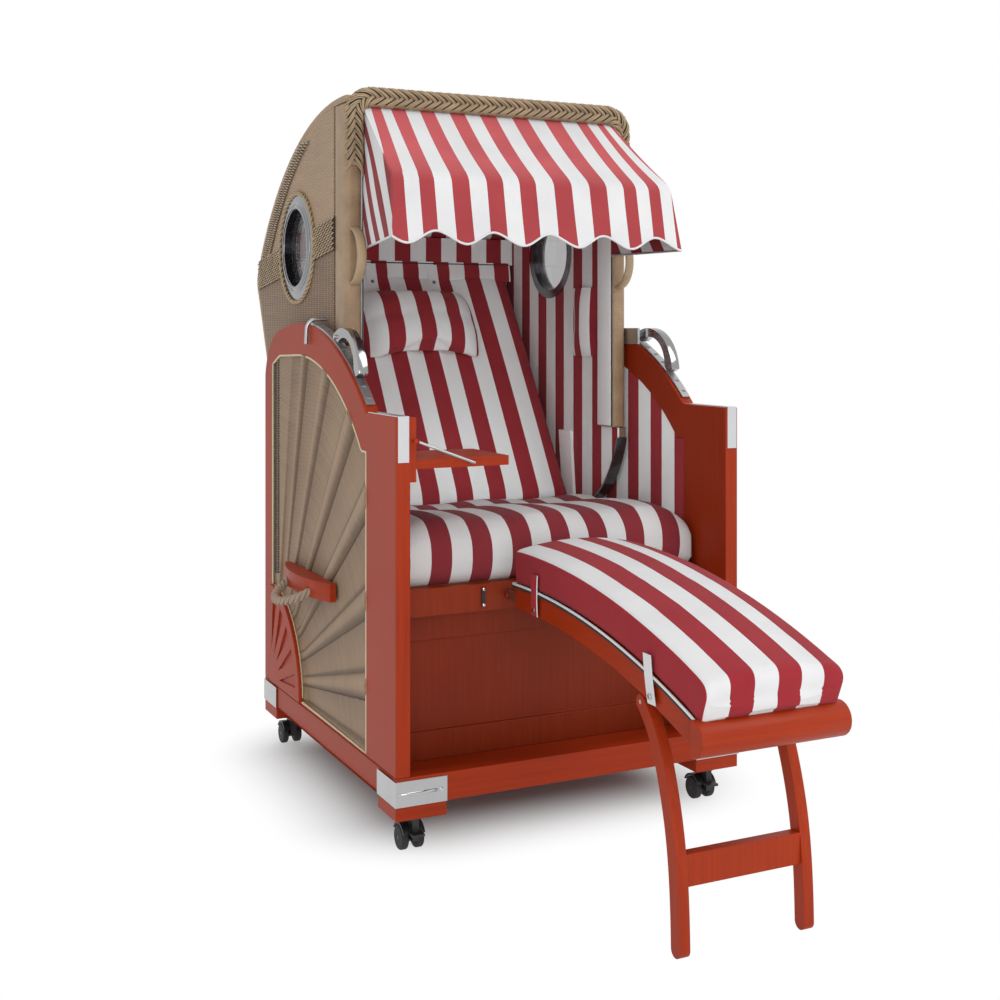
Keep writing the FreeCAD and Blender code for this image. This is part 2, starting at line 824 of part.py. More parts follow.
def notch_rails():
    radius = arm_radius()
    far = radius + size("notch_rail_thick")
    start = arm_start() - NOTCH_LEAD
    middle = (start + NOTCH_END) / 2
    outer = outline(around(start, radius), [(around(middle, radius), around(NOTCH_END, radius)), around(NOTCH_END, far),
                                            (around(middle, far), around(start, far))])
    strip = stand(padded("notch_strip", "YZ_Plane", outer, "notch_rail_width"),
                  x="base_width/2 - panel_thick + notch_rail_inset")
    slots = []
    x = size("base_width") / 2 - size("panel_thick") + size("notch_rail_inset") + size("notch_rail_width") / 2
    wide = size("notch_width")
    length = size("notch_length")
    for index in range(NOTCHES):
        angle = start - (start - NOTCH_END) * (index + 0.5) / NOTCHES
        run, height = around(angle, far - size("notch_depth"))
        slot = Part.makeBox(wide, length, size("notch_rail_thick"), Vector(-wide / 2, -length / 2, 0))
        slot.rotate(Vector(0, 0, 0), Vector(1, 0, 0), angle)
        slot.translate(Vector(x, run, height))
        slots.append(slot)
    cutter = formed("notch_slots", Part.makeCompound(slots))
    rail = doc.addObject("Part::Cut", "notch_rail")
    rail.Base = strip
    rail.Tool = cutter
    node(pair("notch_rails", rail))


def hinge_plane():
    """Inner face of the steel arms that carry the hood."""
    return size("hinge_x")


def pivot_posts():
    post = board("pivot_plank", ("base_width/2 - panel_thick - pivot_post_thick", "pivot_run - pivot_post_depth/2",
                                 "floor_top"),
                 ("pivot_post_thick", "pivot_post_depth", "pivot_height + pivot_post_rise - floor_top"))
    bore = doc.addObject("Part::Cylinder", "pivot_post_bore")
    bore.setExpression("Radius", bind("bolt_diameter/2"))
    bore.setExpression("Height", bind("3*pivot_post_thick"))
    bore.Placement.Rotation = FreeCAD.Rotation(Vector(0, 1, 0), 90)
    bore.setExpression("Placement.Base.x", bind("base_width/2 - panel_thick - 2*pivot_post_thick"))
    bore.setExpression("Placement.Base.y", bind("base_front_y + pivot_run"))
    bore.setExpression("Placement.Base.z", bind("pivot_height"))
    plank = doc.addObject("Part::Cut", "pivot_post")
    plank.Base = post
    plank.Tool = bore
    node(pair("pivot_posts", plank))
    radius = size("bolt_diameter") / 2
    head = radius + size("bolt_head")
    flange = radius + size("bolt_collar")
    inner = hinge_plane() - size("free_gap")
    end = inner - size("bolt_head_thick")
    collar = hinge_plane() + size("hinge_arm_thick") + size("free_gap")
    outer = size("base_width") / 2 - size("panel_thick")
    post_face = outer - size("pivot_post_thick")
    edges = outline((0, end), [(head, end), (head, inner), (radius, inner), (radius, collar), (flange, collar),
                               (flange, post_face), (radius, post_face), (radius, outer), (0, outer)])
    bolt = turned("pivot_bolt", edges)
    bolt.Placement.Rotation = FreeCAD.Rotation(Vector(0, 1, 0), 90)
    bolt.setExpression("Placement.Base.y", bind("base_front_y + pivot_run"))
    bolt.setExpression("Placement.Base.z", bind("pivot_height"))
    node(pair("pivot_bolts", bolt))


# Casters

def caster_centres():
    """Name and place of each swivel axis."""
    x = size("base_width") / 2 - size("block_length") / 2
    near = size("block_depth") / 2
    far = size("base_depth") - near
    return [("front_left", -x, near), ("front_right", x, near), ("rear_left", -x, far), ("rear_right", x, far)]


def caster_plates():
    plates = []
    for name, x, run in caster_centres():
        side = size("plate_side")
        thick = size("plate_thick")
        plate = Part.makeBox(side, side, thick, Vector(x - side / 2, run - side / 2, size("caster_height") - thick))
        plates.append(formed("caster_plate_" + name, plate))
    node(group("caster_plates", plates))


def caster_fork(name, x, run):
    radius = size("wheel_diameter") / 2
    trail = size("caster_trail")
    wide = size("fork_width")
    margin = size("fork_margin")
    top = size("caster_height") - size("plate_thick") - size("free_gap")
    cheek = Part.makeBox(wide, 2 * (trail + margin), top - radius - margin,
                         Vector(x - wide / 2, run - trail - margin, radius))
    nose = rod((x - wide / 2, run + trail, radius), (1, 0, 0), size("fork_nose"), wide)
    crown = rod((x, run, top - size("crown_thick")), (0, 0, 1), size("crown_diameter"), size("crown_thick"))
    span = size("guard_width")
    shell = rod((x - span / 2, run + trail, radius), (1, 0, 0), 2 * (radius + size("guard_outer")), span)
    hollow = rod((x - span / 2, run + trail, radius), (1, 0, 0), 2 * (radius + size("guard_inner")), span)
    keep = Part.makeBox(2 * span, 4 * radius, 2 * radius,
                        Vector(x - span, run + trail - 2 * radius, radius + size("guard_start")))
    guard = shell.cut(hollow).common(keep)
    reach = size("wheel_gap") + size("wheel_width")
    axle = rod((x - reach, run + trail, radius), (1, 0, 0), size("axle_diameter"), 2 * reach)
    body = cheek.multiFuse([nose, crown, guard, axle])
    if name.startswith("front"):
        length = size("brake_length")
        tab = Part.makeBox(size("brake_width"), length, size("brake_thick"),
                           Vector(x - size("brake_width") / 2, run - trail - length, radius + size("brake_rise")))
        body = body.fuse(tab)
    node(formed("caster_fork_" + name, body.removeSplitter()))


def caster_wheel(name, x, run):
    radius = size("wheel_diameter") / 2
    near = size("wheel_gap")
    far = near + size("wheel_width")
    bend = size("tyre_round")
    ease = 0.3 * bend
    hole = size("axle_diameter") / 2 + size("fit_gap")
    edges = outline((hole, near), [(radius - bend, near), ((radius - ease, near + ease), (radius, near + bend)),
                                   (radius, far - bend), ((radius - ease, far - ease), (radius - bend, far)),
                                   (hole, far)])
    discs = []
    for label, turn in (("wheel_disc_", 90), ("wheel_twin_", -90)):
        disc = turned(label + name, edges)
        disc.Placement.Rotation = FreeCAD.Rotation(Vector(0, 1, 0), turn)
        disc.Placement.Base = Vector(x, size("base_front_y") + run + size("caster_trail"), radius)
        discs.append(disc)
    node(group("caster_wheel_" + name, discs))


# Tray on the left arm

def tray():
    inner = size("base_width") / 2 - size("panel_thick")
    thick = size("tray_mount_thick")
    face = thick - inner
    top = size("tray_height")
    margin = size("tray_mount_margin")
    plate = Part.makeBox(thick, size("stile_front") - 2 * margin, size("tray_mount_height"),
                         Vector(-inner, margin, top - size("tray_mount_drop")))
    pin_x = face - thick / 2
    pin_height = top + size("stay_rise")
    shank = size("stay_pin_length")
    pin = rod((pin_x, margin + 1, pin_height), (0, -1, 0), size("stay_pin"), shank)
    head = rod((pin_x, margin + 1 - shank + size("stay_head_thick"), pin_height), (0, -1, 0), size("stay_pin_head"),
               size("stay_head_thick"))
    hinge = face + size("tray_hinge_out")
    round_size = size("tray_hinge_diameter")
    near = size("tray_hinge_set")
    length = size("tray_hinge_length")
    barrel = rod((hinge, near, top), (0, 1, 0), round_size, length)
    leaf = Part.makeBox(hinge - face, length, round_size, Vector(face, near, top - round_size / 2))
    node(formed("tray_mount", plate.multiFuse([pin, head, barrel, leaf]).removeSplitter()))
    slab_thick = size("tray_thick")
    slab = Part.makeBox(size("tray_length"), size("tray_depth"), slab_thick,
                        Vector(hinge, size("tray_set"), top - slab_thick))
    corners = [edge for edge in slab.Edges
               if abs(edge.CenterOfMass.x - hinge - size("tray_length")) < 1e-3
               and abs(edge.CenterOfMass.z - top + slab_thick / 2) < 1e-3]
    slab = slab.makeFillet(size("tray_corner"), corners)
    anchor = hinge + size("stay_anchor")
    low = top - slab_thick / 2
    wire_size = size("stay_diameter")
    socket = rod((anchor, size("tray_set") - 1, low), (0, 1, 0), wire_size + 2 * size("fit_gap"),
                 size("socket_depth") + 1)
    knuckle = rod((hinge, near - size("free_gap"), top), (0, 1, 0), round_size + 2 * size("fit_gap"),
                  length + 2 * size("free_gap"))
    node(formed("tray_top", slab.cut(socket).cut(knuckle)))
    run = size("stay_run")
    pull = Vector(pin_x - anchor, 0, pin_height - low)
    reach = pull.Length - size("stay_gap")
    pull.normalize()
    bar = rod((anchor, run, low), (pull.x, 0, pull.z), wire_size, reach)
    elbow = Part.makeSphere(wire_size / 2, Vector(anchor, run, low))
    peg = rod((anchor, run, low), (0, 1, 0), wire_size, size("stay_peg"))
    node(formed("tray_stay", bar.multiFuse([elbow, peg]).removeSplitter()))


# Hood

def hood_centre():
    """Centre of the roof's round back, in the side view."""
    return size("hood_run") + size("hood_centre_set"), size("hood_centre_height")


def roof_point(run, inset):
    """Height of the roof at a run, inset inside its outer face."""
    centre, height = hood_centre()
    radius = size("hood_radius") - inset
    return run, height + math.sqrt(radius ** 2 - (run - centre) ** 2)


def roof_back(height, inset):
    """Run of the roof's round back at a height, inset inside its outer face."""
    centre, middle = hood_centre()
    radius = size("hood_radius") - inset
    return centre + math.sqrt(radius ** 2 - (height - middle) ** 2), height


LEAN = math.radians(25.0)


def back_point(height, inset):
    """A point on the hood's straight back, inset inside its outer face."""
    top = roof_back(size("shoulder_height"), 0)[0] + size("back_ease")
    run = top - (size("back_top_height") - height) * math.tan(LEAN)
    return run - inset * math.cos(LEAN), height + inset * math.sin(LEAN)


def crown_point(inset):
    """The roundest point behind, between roof and back."""
    height = size("crown_height")
    run = roof_back(height, 0)[0] - size("crown_ease")
    return run - inset * 1.06, height - 0.2 * inset


def roof_strip(inner, outer, run):
    """Side view of a shell between two insets, from a run at the front to the foot of the back."""
    front = roof_point(run, inner)
    middle = (run + roof_back(size("shoulder_height"), inner)[0]) / 2
    steps = [(roof_point(middle, inner), roof_back(size("shoulder_height"), inner)),
             (crown_point(inner), back_point(size("back_top_height"), inner)),
             back_point(size("back_foot_height"), inner), back_point(size("back_foot_height"), outer),
             back_point(size("back_top_height"), outer),
             (crown_point(outer), roof_back(size("shoulder_height"), outer)),
             (roof_point(middle, outer), roof_point(run, outer))]
    return outline(front, steps)


def hood_roof():
    wall = size("hood_wall")
    node(stand(padded("hood_roof", "YZ_Plane", roof_strip(0, wall, size("hood_run")), "hood_width"),
               x="-hood_width/2"))


def cheek_curve():
    """Three points of the wall's curved lower edge: at the post, half way and at its lowest."""
    run = size("hood_run")
    return ((run + size("cheek_edge"), size("post_foot") - size("cheek_edge") - size("cheek_nose")),
            (run + size("cheek_curve_set"), size("cheek_curve_height")),
            (run + size("cheek_foot_set"), size("cheek_foot_height")))


def cheek_outline(inset):
    """Side view of the hood's wall under the roof, behind the front post."""
    behind = size("hood_run") + size("post_depth") + inset
    foot = size("post_foot") - size("cheek_edge")
    shoulder = roof_back(size("shoulder_height"), inset)
    middle = (behind + shoulder[0]) / 2
    nose, bend, low = cheek_curve()
    return outline(roof_point(behind, inset),
                   [(roof_point(middle, inset), shoulder),
                    (crown_point(inset), back_point(size("back_top_height"), inset)),
                    back_point(size("back_foot_height"), inset), low, (bend, nose), (nose[0], foot), (behind, foot)])


def hood_sides():
    wall = size("hood_wall") + size("bed_gap")
    edges = cheek_outline(wall)
    edges.append(circle((size("porthole_run"), size("porthole_height")), size("porthole_bore") + 2 * size("cut_margin")))
    left = stand(padded("hood_side_left", "YZ_Plane", edges, "side_thick"), x="-hood_width/2")
    right = stand(padded("hood_side_right", "YZ_Plane", edges, "side_thick"), x="hood_width/2 - side_thick")
    for panel in (left, right):
        node(panel)


def hood_linings():
    edges = cheek_outline(size("hood_wall") + size("lining_margin"))
    edges.append(circle((size("porthole_run"), size("porthole_height")), size("porthole_bore") + 2 * size("cut_margin")))
    wall = stand(padded("wall_lining", "YZ_Plane", edges, "lining_thick"),
                 x="hood_width/2 - side_thick - lining_thick")
    wall_twin = mirrored("wall_lining_twin", wall)
    run = size("hood_run") + size("post_depth") + size("ceiling_margin")
    first = size("hood_wall") + size("bed_gap")
    last = first + size("lining_thick")
    back = size("hood_run") + size("ceiling_length")
    middle = (run + back) / 2
    strip = outline(roof_point(run, first), [(roof_point(middle, first), roof_point(back, first)),
                                             roof_point(back, last),
                                             (roof_point(middle, last), roof_point(run, last))])
    ceiling = stand(padded("roof_lining", "YZ_Plane", strip,
                           "hood_width - 2*side_thick - 2*lining_thick - 2*cheek_edge"),
                    x="-hood_width/2 + side_thick + lining_thick + cheek_edge")
    node(group("hood_linings", [wall, wall_twin, ceiling]))


def hood_trim():
    top, mid, low = [Vector(run, height, 0) for run, height in cheek_curve()]
    curve = Part.ArcOfCircle(top, mid, low).toShape().Curve
    centre = curve.Center

    def grown(point, amount):
        offset = (point - centre).normalize() * amount
        return (point.x + offset.x, point.y + offset.y)

    near = size("bed_gap")
    far = near + size("trim_thick")
    edges = outline(grown(top, near), [(grown(mid, near), grown(low, near)), grown(low, far),
                                       (grown(mid, far), grown(top, far))])
    strip = stand(padded("trim_strip", "YZ_Plane", edges, "side_thick + lining_thick + trim_lap"),
                  x="hood_width/2 - side_thick - lining_thick - trim_lap")
    node(pair("hood_trim", strip))


def hood_posts():
    outer = size("hood_width") / 2
    inner = outer - size("post_width")
    near = size("hood_run")
    far = near + size("post_depth") - size("post_gap")
    bow = size("post_round")
    cut = bow * (1 - math.sqrt(0.5))
    edges = outline((inner + bow, near), [(outer - bow, near), ((outer - cut, near + cut), (outer, near + bow)),
                                          (outer, far), (inner, far), (inner, near + bow),
                                          ((inner + cut, near + cut), (inner + bow, near))])
    top = min(roof_point(run, size("hood_wall"))[1] for run in (near, far)) - size("bed_gap")
    shaft = stand(padded("hood_post_shaft", "XY_Plane", edges, "%.3f - post_foot" % top), z="post_foot")
    run, height = bow_axis()
    bore = formed("bow_bore", rod((inner - 1, run - size("bow_pin_step"), height), (1, 0, 0),
                                  size("bow_pin") + 2 * size("fit_gap"), 1.2 * size("bow_pin_depth")))
    post = doc.addObject("Part::Cut", "hood_post")
    post.Base = shaft
    post.Tool = bore
    node(pair("hood_posts", post))


def hood_braid():
    outer = size("hood_width") / 2
    inner = outer - size("post_width")
    high = roof_point(size("hood_run"), 0)[1] + size("braid_rise")
    low = high - size("braid_width")
    foot = high - size("braid_drop")
    bow = size("braid_corner")
    cut = bow * (1 - math.sqrt(0.5))
    edges = outline((-outer, foot), [(-outer, high - bow), ((-outer + cut, high - cut), (-outer + bow, high)),
                                     (outer - bow, high), ((outer - cut, high - cut), (outer, high - bow)),
                                     (outer, foot), (inner, foot), (inner, low), (-inner, low), (-inner, foot)])
    strip = padded("hood_braid", "XZ_Plane", edges, "braid_thick")
    strip.setExpression("Placement.Base.y", bind("base_front_y + hood_run"))
    node(strip)


def porthole_rings():
    tube_radius = size("porthole_bore") / 2
    flange = size("porthole_flange") / 2
    face = size("hood_width") / 2
    inside = face - size("side_thick") - size("lining_thick")
    lip = size("ring_lip_thick")
    wide = tube_radius + size("ring_lip")
    wall_radius = tube_radius + size("ring_wall")
    rim = size("rim_height")
    edges = outline((tube_radius, inside - lip), [(wide, inside - lip), (wide, inside), (wall_radius, inside),
                                                  (wall_radius, face), (flange, face), (flange, face + 0.22 * rim),
                                                  (tube_radius + 3 * size("ring_wall"), face + 0.55 * rim),
                                                  (tube_radius + 1.5 * size("ring_wall"), face + rim),
                                                  (tube_radius, face + rim)])
    ring = turned("porthole_ring", edges)
    ring.Placement.Rotation = FreeCAD.Rotation(Vector(0, 1, 0), 90)
    ring.setExpression("Placement.Base.y", bind("base_front_y + porthole_run"))
    ring.setExpression("Placement.Base.z", bind("porthole_height"))
    node(pair("porthole_rings", ring))
    pane = doc.addObject("Part::Cylinder", "porthole_pane")
    pane.setExpression("Radius", bind("porthole_bore/2"))
    pane.setExpression("Height", bind("pane_thick"))
    pane.Placement.Rotation = FreeCAD.Rotation(Vector(0, 1, 0), 90)
    pane.setExpression("Placement.Base.x", bind("hood_width/2 - side_thick"))
    pane.setExpression("Placement.Base.y", bind("base_front_y + porthole_run"))
    pane.setExpression("Placement.Base.z", bind("porthole_height"))
    node(pair("porthole_panes", pane))


def grips():
    near = size("hood_run")
    middle = size("grip_height")
    half = size("grip_half")
    reach = size("grip_reach")
    thick = size("grip_thick")
    edges = outline((near, middle + half), [((near - reach, middle), (near, middle - half)),
                                            (near, middle - half + thick),
                                            ((near - reach + thick, middle), (near, middle + half - thick))])
    loop = stand(padded("grip", "YZ_Plane", edges, "grip_width"), x="hood_width/2 - post_width + grip_set")
    node(pair("grips", loop))


BACKREST_RISE = Vector(0, 402, 625).normalize()
BACKREST_OUT = Vector(0, -625, 402).normalize()


def on_backrest(x, along, out):
    """A point by its distance up the backrest and its height off it."""
    foot = Vector(x, size("backrest_run"), size("backrest_height"))
    return foot + BACKREST_RISE * along + BACKREST_OUT * out


def backrest_section(x, swell):
    """The backrest pad cut across at x; swell lifts its face."""
    thick = size("backrest_thick")
    length = size("backrest_length")
    edge = 0.3 * thick
    ease = 0.1 * thick
    points = [(edge, -thick), (0.4 * ease, -0.55 * thick), (2 * ease, swell - ease), (length / 2, swell + 0.4 * ease),
              (length - 2.6 * ease, swell - ease), (length - 0.4 * ease, -0.55 * thick), (length - edge, -thick),
              (length / 2, -thick)]
    return wire([tuple(on_backrest(x, along, out)) for along, out in points])


def backrest():
    half = hinge_plane() - size("backrest_clear")
    stations = [(-half, -10), (-half + 26, -3), (-half / 2, 0), (0, 2), (half / 2, 0), (half - 26, -3), (half, -10)]
    node(formed("backrest_pad", loft([backrest_section(x, swell) for x, swell in stations])))
    pelmet = board("back_pelmet", ("-hood_width/2 + side_thick + lining_thick", "pelmet_run", "pelmet_height"),
                   ("hood_width - 2*side_thick - 2*lining_thick", "pelmet_thick", "pelmet_drop"))
    reach = hinge_plane()
    thick = size("backrest_thick")
    low = 0.3 * thick
    high = size("backrest_length") - low
    corners = [on_backrest(-reach, low, -thick), on_backrest(reach, low, -thick),
               on_backrest(reach, high, -thick), on_backrest(-reach, high, -thick)]
    plank = Part.Face(Part.makePolygon(corners + corners[:1])).extrude(BACKREST_OUT * -size("backrest_board_thick"))
    node(group("back_boards", [pelmet, formed("backrest_board", plank)]))


def pillow_section(x, thick, reach):
    """The pillow cut across at x."""
    middle = size("pillow_along")
    off = size("pillow_off")
    points = [(middle - reach, off + 0.5 * thick), (middle - 0.72 * reach, off + 0.86 * thick),
              (middle, off + thick), (middle + 0.72 * reach, off + 0.86 * thick), (middle + reach, off + 0.5 * thick),
              (middle + 0.72 * reach, off + 0.14 * thick), (middle, off), (middle - 0.72 * reach, off + 0.14 * thick)]
    return wire([tuple(on_backrest(x, along, out)) for along, out in points])


def pillow():
    half = size("pillow_width") / 2
    thick = size("pillow_thick")
    reach = size("pillow_reach")
    stations = [(-1, 0.2, 0.942), (-0.86, 0.62, 1.038), (-0.45, 0.93, 1.01), (0, 1.0, 1.0),
                (0.45, 0.93, 1.01), (0.86, 0.62, 1.038), (1, 0.2, 0.942)]
    node(formed("pillow", loft([pillow_section(half * place, thick * share, reach * spread)
                                for place, share, spread in stations])))
    straps = []
    start = size("strap_along")
    end = size("backrest_length") - 0.26 * size("backrest_thick")
    sink = -size("strap_sink")
    fall = sink - size("strap_fall")
    for side, sign in (("left", -1), ("right", 1)):
        near = sign * size("strap_inset") - size("strap_width") / 2
        far = near + size("strap_width")
        corners = [on_backrest(near, start, sink), on_backrest(far, start, sink),
                   on_backrest(far, end, fall), on_backrest(near, end, fall)]
        band = Part.Face(Part.makePolygon(corners + corners[:1])).extrude(BACKREST_OUT * size("strap_thick"))
        straps.append(formed("pillow_strap_" + side, band))
    node(group("pillow_straps", straps))


def hinge_arms():
    run = size("pivot_run")
    height = size("pivot_height")
    half = size("hinge_arm_half")
    top = size("hinge_arm_top")
    middle = run + size("hinge_arm_lean")
    edge = size("hinge_arm_width") / 2
    edges = outline((run - half, height), [((run, height - half), (run + half, height)), (middle + edge, top),
                                           (middle - edge, top)])
    edges.append(circle((run, height), size("bolt_diameter") + 2 * size("fit_gap")))
    arm = padded("hinge_arm", "YZ_Plane", edges, "hinge_arm_thick")
    stand(arm, x="hinge_x")
    node(pair("hinge_arms", arm))


def latch_axis():
    """Angle and radius of the latch levers' pins."""
    return LATCH_ANGLE, arm_radius() + size("latch_rise")


def hood_pins():
    angle, radius = latch_axis()
    side = size("hood_width") / 2
    face = size("base_width") / 2
    run, height = around(angle, radius)
    pin = rod((side, run, height), (1, 0, 0), size("latch_pin"), face - side)
    lead = size("tongue_lead")
    tall = size("tongue_height")
    tongue = Part.makeBox(size("tongue_thick"), size("hood_run") + size("tongue_set") - run + lead, tall,
                          Vector(side, run - lead, height - tall / 2))
    latch = formed("latch_pin", pin.fuse(tongue).removeSplitter())
    run, height = around(GUIDE_ANGLE, arm_radius() + size("guide_rise"))
    foot = around(GUIDE_ANGLE, arm_radius() - size("guide_drop"))
    out = face + size("guide_out")
    bar = tube([(side, run, height), (out, run, height), (out, foot[0], foot[1])], size("guide_diameter"))
    hook = formed("guide_hook", bar)
    node(group("hood_pins", [latch, mirrored("latch_pin_twin", latch), hook, mirrored("guide_hook_twin", hook)]))


# Points of a latch lever: angle ahead of upright, and the size that is its height over the arm.
LEVER_POINTS = [(20.8, "heel"), (28.8, "rise"), (36.6, "tip"), (35.6, "lip"), (34.0, "catch"),
                (29.0, "hollow"), (23.8, "root")]


def latch_levers():
    base = arm_radius()
    angle, radius = latch_axis()
    heel, crown, tip, lip, catch, hollow, root = [
        around(turn, base + size("lever_" + name)) for turn, name in LEVER_POINTS]
    edges = outline(heel, [(crown, tip), lip, catch, (hollow, root)])
    edges.append(circle(around(angle, radius), size("latch_pin") + 2 * size("fit_gap")))
    right = stand(padded("latch_lever_right", "YZ_Plane", edges, "lever_width"),
                  x="base_width/2 - panel_thick + lever_inset")
    node(right)
    node(mirrored("latch_lever_left", right))


# Awning

def bow_axis():
    """Run and height of the awning bow's hinge."""
    return size("hood_run") + size("bow_set"), size("bow_height")


def awning_bow():
    run, height = bow_axis()
    inner = size("hood_width") / 2 - size("post_width")
    x = inner - size("bow_diameter") / 2 - size("bow_side_gap")
    bar = tube([(-x, run, height), (-x, run - size("bow_reach"), height), (x, run - size("bow_reach"), height),
                (x, run, height)], size("bow_diameter"))
    pins = [rod((side * x, run - size("bow_pin_step"), height), (side, 0, 0), size("bow_pin"),
                inner - x + size("bow_pin_depth")) for side in (-1, 1)]
    node(formed("awning_bow", bar.multiFuse(pins).removeSplitter()))


def prism(corners):
    """A closed solid from four pairs of corners: top edge, crease, valance foot and back foot."""
    top, crease, foot, back = [[Vector(side * x, run, height) for side in (-1, 1)] for x, run, height in corners]
    rims = [top + crease[::-1], crease + foot[::-1], foot + back[::-1], back + top[::-1]]
    for side in (0, 1):
        rims.append([top[side], crease[side], back[side]])
        rims.append([crease[side], foot[side], back[side]])
    faces = [Part.Face(Part.makePolygon(rim + rim[:1])) for rim in rims]
    return Part.Solid(Part.Shell(faces))


LOBES_EACH_SIDE = 3


def awning_canopy():
    run, height = bow_axis()
    cloth = size("cloth_thick")
    front = run - size("bow_reach") - size("canopy_lead")
    crease = height + size("bow_diameter") / 2 + size("canopy_lift")
    back = size("hood_run")
    top = roof_point(back, 0)[1] + size("braid_rise") - size("braid_width") - size("bed_gap")
    low = crease - size("awning_drop")
    inner = size("hood_width") / 2 - size("post_width") - size("canopy_side")
    wide = inner + size("canopy_spread")
    flare = wide + size("valance_flare")
    rake = size("valance_rake")
    outside = prism([(inner, back, top), (wide, front, crease), (flare, front - rake, low), (inner, back, low)])
    slope = (top - crease) / (back - front)
    past = 2 * cloth
    sink = 1.3 * cloth
    spread = past / (crease - low)
    inside = prism([(inner - cloth - past * (wide - inner) / (back - front), back + past, top + past * slope - sink),
                    (wide - cloth, front + cloth, crease + cloth * slope - sink),
                    (flare + (flare - wide) * spread - cloth, front - rake * (1 + spread) + cloth, low - past),
                    (inner - cloth, back + past, low - past)])
    pitch = size("scallop_pitch")
    rise = size("scallop_rise")
    radius = (pitch ** 2 / 4 + rise ** 2) / (2 * rise)
    lobes = []
    for index in range(-LOBES_EACH_SIDE, LOBES_EACH_SIDE):
        x = (index + 0.5) * pitch
        lobes.append(rod((x, front - rake - 3 * cloth, low + radius), (0, 1, 0), 2 * radius, 7 * cloth))
    band = Part.makeBox(2 * flare, 5.6 * cloth, rise + past, Vector(-flare, front - rake - 2.4 * cloth, low - past))
    bites = band.cut(lobes)
    node(formed("awning_canopy", outside.cut(inside).cut(bites).removeSplitter()))


# Footrest

def footrest_point(run, grow):
    """A point on the footrest's arch, grown outward from the top of its rails."""
    centre = (size("rest_centre_run"), size("seat_height") + size("rest_crown") - size("footrest_radius"))
    radius = size("footrest_radius") + grow
    return run, centre[1] + math.sqrt(radius ** 2 - (run - centre[0]) ** 2)


def arch_strip(low, high, back, front):
    """Side view of a strip on the footrest's arch."""
    middle = (back + front) / 2
    return outline(footrest_point(back, low), [(footrest_point(middle, low), footrest_point(front, low)),
                                               footrest_point(front, high),
                                               (footrest_point(middle, high), footrest_point(back, high))])


def footrest_frame():
    edges = arch_strip(-size("footrest_rail_height"), 0, size("rest_back_run"), size("rest_front_run"))
    rail = stand(padded("footrest_rail", "YZ_Plane", edges, "footrest_rail_thick"),
                 x="footrest_width/2 - footrest_rail_thick")
    node(pair("footrest_rails", rail))
    top = -size("rest_board_top")
    sheet_edges = arch_strip(top - size("rest_board_thick"), top, size("rest_back_run"), size("rest_front_run"))
    node(stand(padded("footrest_board", "YZ_Plane", sheet_edges, "footrest_width - 2*footrest_rail_thick"),
               x="-footrest_width/2 + footrest_rail_thick"))
    run, high = footrest_point(size("rest_front_run"), size("nose_top"))
    low = high - size("nose_height")
    nose = outline((run, high), [((run - size("nose_reach"), high - size("nose_bulge")), (run - size("nose_tuck"), low)),
                                 (run, low + size("nose_rise"))])
    node(stand(padded("footrest_nose", "YZ_Plane", nose, "footrest_width + 2*nose_overhang"),
               x="-footrest_width/2 - nose_overhang"))


def footrest_section(x, share):
    """The footrest cushion cut across at x."""
    thick = size("footrest_cushion_thick") * share
    back = size("rest_back_run") + size("cheek_edge")
    front = size("rest_front_run") - size("nose_rise")
    middle = (back + front) / 2
    rows = [(back, 0.5), (back - 10, 0.9), (back - 60, 1.02), (0.5 * (back - 60 + middle), 1.04), (middle, 1.04),
            (0.5 * (front + 70 + middle), 1.04), (front + 70, 1.0), (front + 14, 0.82), (front, 0.45),
            (front + 8, 0.1), (front + 30, 0), (middle, 0), (back - 16, 0), (back - 3, 0.14)]
    points = [footrest_point(run, size("free_gap") + lift * thick) for run, lift in rows]
    return wire([(x, run, height) for run, height in points])


def footrest_cushion():
    half = size("footrest_width") / 2 + size("rest_cushion_lap")
    stations = [(-half, 0.78), (-half + 14, 0.95), (-half / 2, 1.02), (0, 1.05), (half / 2, 1.02),
                (half - 14, 0.95), (half, 0.78)]
    node(formed("footrest_cushion", loft([footrest_section(x, share) for x, share in stations])))


def leg_axis():
    """Run and height of the hinge of the footrest's legs."""
    run = size("leg_run")
    return run, footrest_point(run, -size("footrest_rail_height"))[1] - size("leg_drop")


# A leg's bow: shares of the way from its hinge to its foot, and of its hinge's height.
LEG_CURVE = ((0.351, 0.8837), (0.649, 0.6957), (0.851, 0.4882), (0.965, 0.2441))


